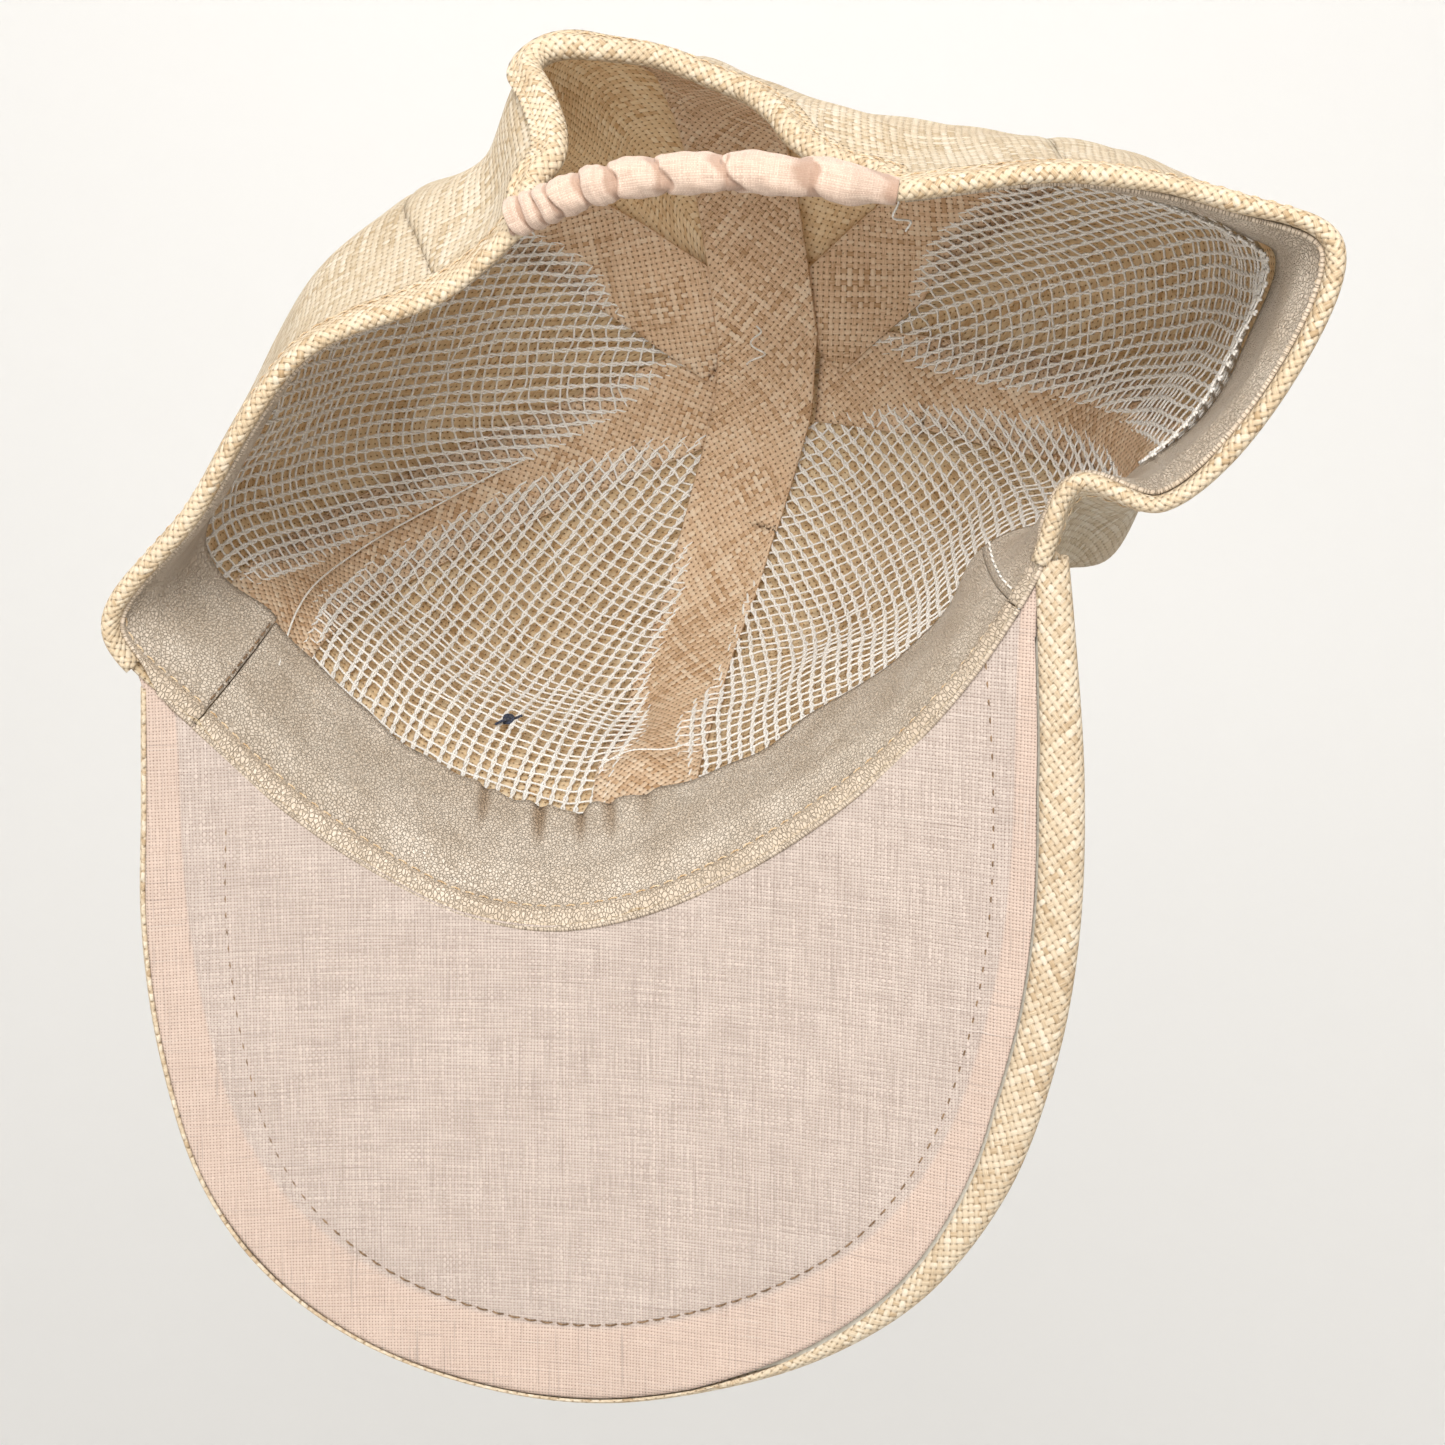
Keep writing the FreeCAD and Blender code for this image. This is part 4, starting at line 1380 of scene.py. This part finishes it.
@dataclass
class Sweatband:
    """Leatherette sweatband in three pieces, sewn along the rim.

    Attributes:
        form: the crown's shape.
        height: height of its free edge.
        depth: distance from the crown's outer face where it hangs free.
        thickness: thickness of the leatherette.
        stitch_height: height of the stitch row above the rim.
    """

    form: CapForm
    height: float = 33.0
    depth: float = 4.4
    thickness: float = 0.8
    stitch_height: float = 3.4

    def ridges(self, turn: Array, height: Array, width: float) -> Array:
        """How near each point is to the middle of one of the front's folds, 0 to 1."""
        return sum(size * np.exp(-((turn - place - 0.006 * height) / width) ** 2)
                   for place, size in ((-0.25, 0.5), (0.2, 0.8), (0.62, 0.85), (1.2, 1.0), (1.95, 0.75)))

    def puckers(self, station: Array, height: Array) -> Array:
        """Folds near the front's middle and slack waves elsewhere, millimetres inwards.

        Args:
            station: places round the rim.
            height: distances up the wall, millimetres.

        Returns:
            Distances inwards, millimetres.
        """
        turn = (station + ROUND / 2) % ROUND - ROUND / 2
        lift = smooth(height, 9, self.height) ** 1.1
        folds = 2.2 * self.ridges(turn, height, 0.25) - 2.8 * self.ridges(turn, height, 0.1)
        slack = 0.5 * np.sin(turn * 2.6 + 1.0) + 0.35 * np.sin(turn * 5.1)
        lean = 6.5 * smooth(height, 3, self.height) * np.exp(-((turn + 4.7) / 1.2) ** 2)
        return lift * (folds + slack) + lean

    def points(self, station: Array, height: Array) -> Array:
        """Points of the band's inner face.

        Args:
            station: places round the rim.
            height: distances up the wall, millimetres.

        Returns:
            The points.
        """
        turn = (station + ROUND / 2) % ROUND - ROUND / 2
        brow = (smooth(turn, -5.6, -5.0) * (1 - smooth(turn, 5.2, 5.8)))
        base = 2.3 + (self.depth - 2.3) * smooth(height, 3, 12)
        tuck = brow * 2.6 * (1 - smooth(height, -1.0, 2.4))
        roll = 0.5 * np.exp(-((height - 1.2) / 1.4) ** 2)
        roll = roll - 0.35 * np.exp(-((height - self.stitch_height) / 0.8) ** 2)
        return self.form.layer(station, height, base - tuck + roll + self.puckers(station, height))

    def piece(self, name: str, first: float, last: float) -> None:
        """One piece of the band with its stitch row.

        Args:
            name: the solid it replaces.
            first, last: stations of its ends.
        """
        probe = self.form.wall(np.linspace(first, last, 200), 10.0)
        width = float(arc_lengths(probe, 0)[-1])
        stations = np.linspace(first, last, int(width / 1.1))
        turn = (stations + ROUND / 2) % ROUND - ROUND / 2
        brow = smooth(turn, -5.6, -5.0) * (1 - smooth(turn, 5.2, 5.8))
        bottom = 1.6 - 2.4 * brow
        top = self.height + 0.5 * np.sin(stations * 3.1) + 0.4 * np.sin(stations * 7.7)
        top = top - 4.5 * np.exp(-((turn - 0.6) / 2.2) ** 2)
        shares = np.linspace(0, 1, 26) ** 1.25
        heights = bottom[None, :] + (top - bottom)[None, :] * shares[:, None]
        grid = np.broadcast_to(stations, heights.shape)
        points = self.points(grid, heights)
        run = arc_lengths(points, 1)[[12], :]
        cloth = np.stack(np.broadcast_arrays(run, heights), axis=-1)
        # Painted shade mark: how far into the valleys of the folds each point lies, for the finish to darken.
        fold_shade = np.clip(self.ridges(np.broadcast_to(turn, heights.shape), heights, 0.11), 0, 1)
        marks = {"margin": np.where(heights < self.stitch_height - 0.5, 1.0, 0.0),
                 "fold_shade": fold_shade * smooth(heights, 12, 28)}
        made = grid_object("leather_" + name, points, cloth, marks=marks, flip=True)
        Finish.LEATHERETTE.dress(made)
        thicken(made, self.thickness)
        settle(made, "leatherette", name, brow=True)
        threads = Threads()
        line = self.points(stations, np.full(stations.shape, self.stitch_height))
        inward = self.form.normal(stations, np.full(stations.shape, self.stitch_height))
        threads.stitches(line, inward, 2.9, 2.3, 0.2, 0.32)
        row = threads.build("leather_" + name + "_stitches")
        Finish.STRAW_THREAD.dress(row)
        settle(row, "leatherette", brow=True)

    def joins(self) -> None:
        """The ladder of dark stitches on the left join and the white row on the right one."""
        heights = np.linspace(4, self.height - 1, 30)
        for name, station, finish, pitch in (("join_left_stitches", 5.03, Finish.BROWN_THREAD, 2.6),
                                             ("join_right_stitches", 20.25, Finish.WHITE_THREAD, 3.2)):
            threads = Threads()
            line = self.points(np.full(heights.shape, station), heights)
            inward = self.form.normal(np.full(heights.shape, station), heights)
            threads.stitches(line + inward * 0.15, inward, pitch, pitch * 0.6, 0.24, 0.3)
            row = threads.build(name)
            finish.dress(row)
            settle(row, "leatherette", brow=True)

    def build(self) -> None:
        """Builds the three pieces and their joins."""
        self.piece("sweatband_front", 20.357, ROUND + 4.993)
        self.piece("sweatband_left", 5.005, 10.9)
        self.piece("sweatband_right", 13.1, 20.343)
        self.joins()


@dataclass
class Bindings:
    """Straw bindings: along the rim behind the visor, and round the half-moon opening.

    Attributes:
        form: the crown's shape.
        leg: how far a binding reaches over the cloth.
        thickness: thickness of the binding's cloth.
    """

    form: CapForm
    leg: float = 6.0
    thickness: float = 0.6

    def folded(self, name: str, frames: tuple[Array, Array, Array], leg: float, swell: float,
               brow: bool) -> None:
        """Carries a rolled section along an edge.

        Args:
            name: the piece's name.
            frames: the edge's points, the direction into the crown, and away from the edge.
            leg: reach over the cloth on each side.
            swell: how fat the rolled edge is.
            brow: it crosses the brow seam.
        """
        edge, inward, away = frames
        section = np.array([(-0.75, leg), (-0.8, leg * 0.7), (-0.85 - swell * 0.4, leg * 0.35),
                            (-0.8 - swell, 0.8), (-0.5 - swell * 0.7, -0.5), (0.35, -1.1 - swell * 0.4),
                            (1.2 + swell * 0.6, -0.5), (1.5 + swell * 0.8, 0.8),
                            (1.5 + swell * 0.3, leg * 0.35), (1.45, leg * 0.7), (1.4, leg)])
        section = even_curve(section, 22)
        run = arc_lengths(edge, 0)
        rng = np.random.default_rng(len(name))
        knots = max(6, int(run[-1] / 9))
        wave = np.interp(run, np.linspace(0, run[-1], knots), rng.normal(0, 0.16, knots))
        wave = wave[:, None, None]
        points = (edge[:, None] + inward[:, None] * (section[None, :, :1] * (1 + wave * 0.5))
                  + away[:, None] * (section[None, :, 1:] + wave * 0.8))
        girth = arc_lengths(section, 0)
        cloth = np.stack(np.broadcast_arrays(run[:, None], girth[None, :]), axis=-1)
        piece = grid_object("rolled_" + name, points, cloth, flip=name == "rim_binding_left")
        Finish.BINDING.dress(piece)
        thicken(piece, self.thickness, offset=0.0)
        settle(piece, "straw_tape", name, brow=brow)
        threads = Threads()
        threads.stitches(edge + inward * (-1.05) + away * (leg * 0.72), -inward, 2.9, 2.2, 0.16, 0.25)
        row = threads.build(name + "_stitches")
        Finish.STRAW_THREAD.dress(row)
        settle(row, "straw_tape", brow=brow)

    def rim(self, name: str, first: float, last: float) -> None:
        """A rim binding between two stations.

        Args:
            name: the solid it replaces.
            first, last: stations of its ends.
        """
        stations = np.linspace(first, last, int(abs(last - first) * 16))
        low = np.zeros(stations.shape)
        edge = self.form.layer(stations, low, 0.0)
        inward = self.form.normal(stations, low + 1)
        away = unit(self.form.wall(stations, low + 6) - self.form.wall(stations, low))
        self.folded(name, (edge, inward, away), self.leg, 0.25, True)

    def arch(self) -> None:
        """The rolled binding round the half-moon opening."""
        places = np.array([(ARCH[0][0], 4.0), *ARCH, (ARCH[-1][0], 4.0)])
        path = open_curve(places * (10, 1), np.linspace(0, 1, 400)) / (10, 1)
        station, height = path[:, 0], path[:, 1]
        edge = self.form.layer(station, height, 0.0)
        run = arc_lengths(edge, 0)
        even = np.linspace(0, run[-1], 120)
        station, height = np.interp(even, run, station), np.interp(even, run, height)
        edge = self.form.layer(station, height, 0.0)
        inward = self.form.normal(station, height)
        along = unit(np.gradient(edge, axis=0))
        for _ in range(4):
            along[1:-1] = unit(along[:-2] + along[1:-1] + along[2:])
        away = unit(np.cross(along, inward))
        self.folded("arch_binding", (edge, inward, away), 4.8, 1.0, False)

    def build(self) -> None:
        """Builds the three bindings."""
        self.rim("rim_binding_left", 5.6, 10.92)
        self.rim("rim_binding_right", 19.9, 12.99)
        self.arch()


@dataclass
class BackElastic:
    """Cotton casing scrunched on its elastic, across the half-moon opening.

    Attributes:
        left, middle, right: points of its line.
        width, depth: size of the unpuckered tube.
        lobes: where each pucker begins along the line.
    """

    left: tuple[float, float, float] = (35.0, 51.0, 9.0)
    middle: tuple[float, float, float] = (1.0, 59.6, 8.5)
    right: tuple[float, float, float] = (-33.0, 56.9, 9.4)
    width: float = 10.0
    depth: float = 7.0
    lobes: tuple[float, ...] = (0.0, 0.045, 0.09, 0.13, 0.21, 0.29, 0.415, 0.58, 0.785, 1.0)

    def build(self) -> None:
        """Builds the casing."""
        bow = np.array([self.left, (18.5, 57.4, 8.6), self.middle, (-15.0, 59.4, 8.6), self.right])
        line = even_curve(bow, 300)
        share = np.linspace(0, 1, 300)
        index = np.clip(np.searchsorted(self.lobes, share, side="right") - 1, 0, len(self.lobes) - 2)
        starts = np.array(self.lobes)
        phase = (share - starts[index]) / (starts[index + 1] - starts[index])
        angle = np.linspace(0, 2 * math.pi, 41)
        slant = 0.13 * np.sin(angle + 0.9)[None, :] + 0.07 * np.sin(3 * angle + index[:, None] * 1.7)
        local = (phase[:, None] + slant) % 1.0
        lobe = np.sin(math.pi * local ** 0.62) ** 0.5
        strength = np.interp(share, [0, 0.15, 0.4, 0.75, 0.85, 1], [0.3, 0.32, 0.34, 0.34, 0.2, 0.08])
        strength = strength[:, None]
        fine = 0.02 * np.sin(2 * math.pi * local * 3 + 1) + 0.02 * np.sin(angle * 5 + share[:, None] * 60)
        taper = 1 - 0.35 * smooth(share, 0.86, 1.0)[:, None]
        size = (1.04 - strength + strength * lobe + fine) * taper
        tangent = unit(np.gradient(line, axis=0))
        across = unit(np.cross(tangent, [0, 0, 1.0]))
        up = np.cross(across, tangent)
        squeeze = np.sign(np.cos(angle)) * np.abs(np.cos(angle)) ** 0.8
        rise = np.sign(np.sin(angle)) * np.abs(np.sin(angle)) ** 0.8
        wobble = 0.7 * np.sin(share * 41)[:, None, None]
        points = (line[:, None] + across[:, None] * (squeeze * size * self.depth / 2)[..., None]
                  + up[:, None] * (rise * size * self.width / 2)[..., None] + up[:, None] * wobble)
        cloth = np.stack(np.broadcast_arrays(angle[None, :] / (2 * math.pi) * 28.0, share[:, None] * 125.0),
                         axis=-1)
        # Painted shade mark: the creases between the puckers, for the casing's finish to darken.
        crease_shade = smooth(1 - lobe, 0.12, 0.6)
        piece = grid_object("scrunched_casing", points, cloth, wrap=True, marks={"crease_shade": crease_shade}, flip=True)
        Finish.CASING.dress(piece)
        thicken(piece, 0.35)
        settle(piece, "cotton", "elastic_casing")


@dataclass
class Visor:
    """The long visor: straw cover with its turned edge, and the linen lining underneath.

    Attributes:
        form: the crown's shape, which the brow follows.
        middle_x, arch, droop, level: the underside's curve.
        stack: height from the lining's face to the straw's face.
        left_end, right_end: stations of the brow's ends.
    """

    form: CapForm
    middle_x: float = 28.0
    arch: float = 0.0016
    droop: float = 0.22
    level: float = 7.0
    stack: float = 3.4
    left_end: float = 5.55
    right_end: float = 19.75

    def under(self, flat: Array) -> Array:
        """Height of the underside over plan positions."""
        return (self.level - self.arch * (flat[..., 0] - self.middle_x) ** 2
                + self.droop * (flat[..., 1] + 60))

    def soft(self, flat: Array) -> Array:
        """Slight waves of the lining over plan positions."""
        return 0.15 * np.sin(flat[..., 0] * 0.11 + 1) * np.sin(flat[..., 1] * 0.09)

    def brow(self, gap: float, count: int) -> Array:
        """Plan positions along the brow seam, left end to right end.

        Args:
            gap: distance outside the crown's wall.
            count: how many points are wanted.

        Returns:
            Plan positions.
        """
        stations = np.linspace(self.left_end, self.right_end - ROUND, 200)
        outward = -self.form.normal(stations, np.full(stations.shape, 2.0))[:, :2]
        line = self.form.wall(stations, 2.0)[:, :2] + unit(outward) * gap
        run = arc_lengths(line, 0)
        even = np.linspace(0, run[-1], count)
        return np.stack([np.interp(even, run, line[:, k]) for k in (0, 1)], axis=1)

    def outline(self, inset: Array | float, count: int) -> Array:
        """Plan positions along the outer edge, moved inwards.

        Args:
            inset: how far inwards, one value or one for each point.
            count: how many points are wanted.

        Returns:
            Plan positions.
        """
        line = even_curve(np.array(VISOR_OUTLINE, float), count)
        along = unit(np.gradient(line, axis=0))
        return line + np.stack([along[:, 1], -along[:, 0]], axis=1) * np.asarray(inset).reshape(-1, 1)

    def hem(self, share: Array) -> Array:
        """Width of the straw hem on the underside along the edge, left to right."""
        return np.interp(share, [0, 0.3, 0.52, 0.6, 0.75, 0.9, 1.0], [0.4, 0.4, 0.7, 3.0, 7.6, 7.6, 5.4])

    def lining(self) -> None:
        """The linen lining and its stitch row."""
        count = 260
        share = np.linspace(0, 1, count)
        outer = self.outline(self.hem(share) - 0.4 + 1.0, count)
        inner = self.brow(0.5, count)
        steps = np.linspace(0, 1, 90)[:, None, None]
        flat = outer[None] * (1 - steps) + inner[None] * steps
        edge = np.linalg.norm(flat - self.outline(0.0, count)[None], axis=-1)
        sewn = np.exp(-((edge - 16.0) / 1.3) ** 2)
        tuck = 0.35 * np.exp(-(edge / 1.6) ** 2)
        height = self.under(flat) + self.soft(flat) + 0.35 * sewn + tuck
        points = np.concatenate([flat, height[..., None]], axis=-1)
        marks = {"margin": 1 - smooth(edge, 13.0, 17.5)}
        piece = grid_object("visor_lining", points, flat, marks=marks, flip=True)
        Finish.LINEN.dress(piece)
        thicken(piece, 0.4)
        settle(piece, "linen", "visor_under_cover", body="visor")
        line = self.outline(16.0, 400)[24:-14]
        height = self.under(line) + self.soft(line) - 0.05
        path = np.concatenate([line, height[:, None]], axis=1)
        threads = Threads()
        threads.stitches(path, np.tile([0.0, 0.0, -1.0], (len(path), 1)), 3.3, 2.4, 0.24, 0.3)
        row = threads.build("visor_stitches")
        Finish.BROWN_THREAD.dress(row)
        settle(row, "linen", body="visor")

    def cover(self) -> None:
        """The straw cover: top face, rolled edge and hem."""
        count = 260
        share = np.linspace(0, 1, count)
        hem = self.hem(share)
        brow = self.brow(0.6, count)
        rows, cloth = [], []
        half = self.stack / 2
        for part in np.linspace(0, 1, 6):
            flat = self.outline(hem + (half * 0.7 - hem) * part, count)
            swell = 0.25 * math.sin(part * math.pi)
            rows.append(np.column_stack([flat, self.under(flat) - 0.5 - swell]))
            cloth.append(-(hem * (1 - part)))
        for turn in np.linspace(-75, 90, 9):
            angle = math.radians(turn)
            flat = self.outline(half * (1 - math.cos(angle)) * 0.7, count)
            rows.append(np.column_stack([flat, self.under(flat) + half * (1 + math.sin(angle)) - 0.1]))
            cloth.append(np.full(count, half * (angle + 1.5)))
        start = self.outline(half * 0.7, count)
        for part in (0.0004, *np.linspace(0, 1, 60)[1:]):
            flat = start * (1 - part) + brow * part
            rows.append(np.column_stack([flat, self.under(flat) + self.stack]))
            cloth.append(half * 3 + np.linalg.norm(flat - start, axis=1))
        points = np.array(rows)
        run = arc_lengths(points[[10]], 1)
        weave = np.stack(np.broadcast_arrays(run, np.array(cloth)), axis=-1)
        top = np.arange(len(points)) > 14
        weave[top] = points[top][..., :2]
        piece = grid_object("visor_cover", points, weave, flip=False)
        Finish.STRAW_HEM.dress(piece)
        thicken(piece, 0.45)
        settle(piece, "straw", "visor_top_cover", body="visor")

    def build(self) -> None:
        """Builds the cover and the lining, and dresses the board inside."""
        self.lining()
        self.cover()
        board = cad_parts["visor_board"]
        board.data.materials.clear()
        Finish.BOARD.dress(board)
        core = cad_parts["elastic_core"]
        core.data.materials.clear()
        Finish.ELASTIC.dress(core)


@dataclass
class TopButton:
    """Straw-covered button on the apex.

    Attributes:
        radius, rise: its size.
        centre: the middle of its base.
    """

    radius: float = 7.4
    rise: float = 3.4
    centre: tuple[float, float, float] = (1.0, 6.0, 112.2)

    def build(self) -> None:
        """Shapes the button from a ball: flattened, cut level and its underside closed."""
        bpy.ops.object.select_all(action="DESELECT")
        bpy.ops.mesh.primitive_uv_sphere_add(segments=48, ring_count=32, radius=self.radius * MM,
                                             location=[c * MM for c in self.centre])
        button = bpy.context.active_object
        button.name = button.data.name = "covered_button"
        bpy.ops.object.mode_set(mode="EDIT")
        bpy.ops.mesh.select_all(action="SELECT")
        bpy.ops.transform.resize(value=(1, 1, self.rise / self.radius))
        bpy.ops.mesh.bisect(plane_co=[c * MM for c in self.centre], plane_no=(0, 0, -1), clear_outer=True,
                            use_fill=True)
        bpy.ops.object.mode_set(mode="OBJECT")
        bpy.ops.object.transform_apply(location=True, rotation=True, scale=True)
        bpy.ops.object.shade_smooth_by_angle(angle=math.radians(50))
        layer = button.data.uv_layers.active or button.data.uv_layers.new(name="Cloth")
        layer.name = "Cloth"
        places = [button.data.vertices[loop.vertex_index].co.xy[:] for loop in button.data.loops]
        layer.data.foreach_set("uv", np.array(places).ravel())
        Finish.STRAW_OUT.dress(button)
        settle(button, "straw", "crown_button")


@dataclass
class LooseThreads:
    """Knots and loose ends left by the sewing."""

    form: CapForm

    def run(self, stations: tuple[float, ...], heights: tuple[float, ...], depth: float,
            count: int = 60) -> Array:
        """Path over the crown's inside through a few places, a depth inside the wall."""
        places = open_curve(np.column_stack([stations, heights]), np.linspace(0, 1, count))
        return self.form.layer(places[:, 0], places[:, 1], depth)

    def build(self) -> None:
        """Builds the loose threads."""
        white = Threads(5)
        white.add(self.run((4.75, 4.95, 5.02, 5.1, 5.2), (24, 48, 74, 100, 122), 4.3, 90), 0.22)
        white.add(self.run((24.3, 24.7, 25.1, 25.5), (42, 40, 41, 39), 5.6, 40), 0.18)
        centre = self.form.dome(np.array([4.0]), np.array([12.0]), np.array([7.5]))[0]
        turn = np.linspace(0, 11, 60)
        curl = np.column_stack([2.2 * np.cos(turn) * (1 - turn / 16), turn * 0.8 - 4, 1.2 * np.sin(turn)])
        white.add(centre + curl, 0.24)
        for station, way in ((10.98, 1), (13.02, -1)):
            base = self.form.layer(np.array([station]), np.array([9.0]), np.array([3.0]))[0]
            curve = np.array([[0, 0, 0], [way * 2.0, -2, 2], [way * 1.0, -5, 3], [way * 4.0, -6, 6],
                              [way * 3.0, -8, 8]])
            white.add(base + open_curve(curve, np.linspace(0, 1, 24)), 0.22)
        made = white.build("loose_white_threads")
        Finish.WHITE_THREAD.dress(made)
        settle(made, "cotton", brow=True)
        navy = Threads(6)
        spot = self.form.layer(np.array([2.2]), np.array([52.0]), np.array([4.4]))[0]
        turn = np.linspace(0, 12, 50)
        coil = np.column_stack([0.8 * np.cos(turn) + turn * 0.1, 0.6 * np.sin(turn),
                                0.9 * np.sin(turn) + 1.0])
        navy.add(spot + coil, 0.34)
        tail = np.array([[2.4, 0, -2.6], [1.0, 0.4, -1.0], [0.0, -0.2, 1.2], [-2.2, 0.4, 2.6]])
        navy.add(spot + open_curve(tail, np.linspace(0, 1, 20)), 0.3)
        knot = navy.build("navy_knot")
        Finish.NAVY_THREAD.dress(knot)
        settle(knot, "cotton", brow=True)


@dataclass(frozen=True)
class Studio:
    """Pale backdrop and floor, soft lights and the camera."""

    place: tuple[float, float, float] = (-0.0614, 0.1028, -0.3834)
    ahead: tuple[float, float, float] = (0.139, -0.342, 0.929)
    up: tuple[float, float, float] = (0.051, 0.94, 0.338)
    lens: float = 55.8

    def sheet(self, name: str, height: float, facing: float) -> None:
        """A large pale level sheet.

        Args:
            name: the sheet's name.
            height: its level, metres.
            facing: 1 faces up, -1 faces down.
        """
        bpy.ops.object.select_all(action="DESELECT")
        bpy.ops.mesh.primitive_plane_add(size=9.0, location=(0, 0, height),
                                         rotation=(0 if facing > 0 else math.pi, 0, 0))
        made = bpy.context.active_object
        made.name = name
        g = Graph(name)
        g.shader.inputs["Base Color"].default_value = (0.93, 0.925, 0.915, 1)
        g.shader.inputs["Roughness"].default_value = 0.9
        made.data.materials.append(g.material)

    def lamp(self, name: str, place: tuple[float, float, float], size: float, power: float,
             colour: tuple[float, float, float]) -> None:
        """A soft square light that faces the cap.

        Args:
            name: the light's name.
            place: where it stands, metres.
            size: side of its square, metres.
            power: watts.
            colour: its colour.
        """
        data = bpy.data.lights.new(name, "AREA")
        data.size = size
        data.energy = power
        data.color = colour
        made = bpy.data.objects.new(name, data)
        made.location = place
        made.rotation_mode = "QUATERNION"
        made.rotation_quaternion = (Vector((0.0, -0.02, 0.03)) - Vector(place)).to_track_quat("-Z", "Y")
        bpy.context.scene.collection.objects.link(made)

    def build(self) -> None:
        """Sets up the studio."""
        self.sheet("floor", -0.95, 1)
        self.sheet("backdrop", 0.95, -1)
        world = bpy.data.worlds.new("soft_light")
        bpy.context.scene.world = world
        world.use_nodes = True
        ground = next(n for n in world.node_tree.nodes if n.type == "BACKGROUND")
        ground.inputs[0].default_value = (1.0, 0.985, 0.96, 1)
        ground.inputs[1].default_value = 0.85
        self.lamp("key", (-0.10, 0.62, -0.62), 0.55, 9.5, (1.0, 0.985, 0.96))
        self.lamp("fill", (0.40, -0.35, -0.75), 0.9, 3.0, (1.0, 0.97, 0.93))
        self.lamp("side", (0.75, 0.75, 0.1), 0.8, 2.6, (1.0, 0.98, 0.95))
        self.lamp("top", (0.1, 0.75, 0.75), 0.8, 2.4, (1.0, 0.97, 0.93))
        data = bpy.data.cameras.new("camera")
        data.lens = self.lens
        data.sensor_width = 36.0
        data.clip_start = 0.01
        camera = bpy.data.objects.new("camera", data)
        camera.location = self.place
        ahead, up = Vector(self.ahead).normalized(), Vector(self.up).normalized()
        right = ahead.cross(up).normalized()
        up = right.cross(ahead)
        turn = [[right[i], up[i], -ahead[i]] for i in range(3)]
        camera.rotation_mode = "QUATERNION"
        camera.rotation_quaternion = Matrix(turn).to_quaternion()
        bpy.context.scene.collection.objects.link(camera)
        bpy.context.scene.camera = camera
        bpy.context.scene.view_settings.view_transform = "Standard"


def main() -> None:
    """Builds the whole cap in order and reports each piece."""
    logging.basicConfig(level=logging.INFO, format="%(name)s %(message)s")
    form = CapForm()
    for part in (CrownPanels(form), LiningNets(form), SeamTapes(form), Sweatband(form), Bindings(form),
                 BackElastic(), Visor(form), TopButton(), LooseThreads(form), Studio()):
        LOG.info("building %s", type(part).__name__)
        part.build()


if __name__ == "__main__":
    main()
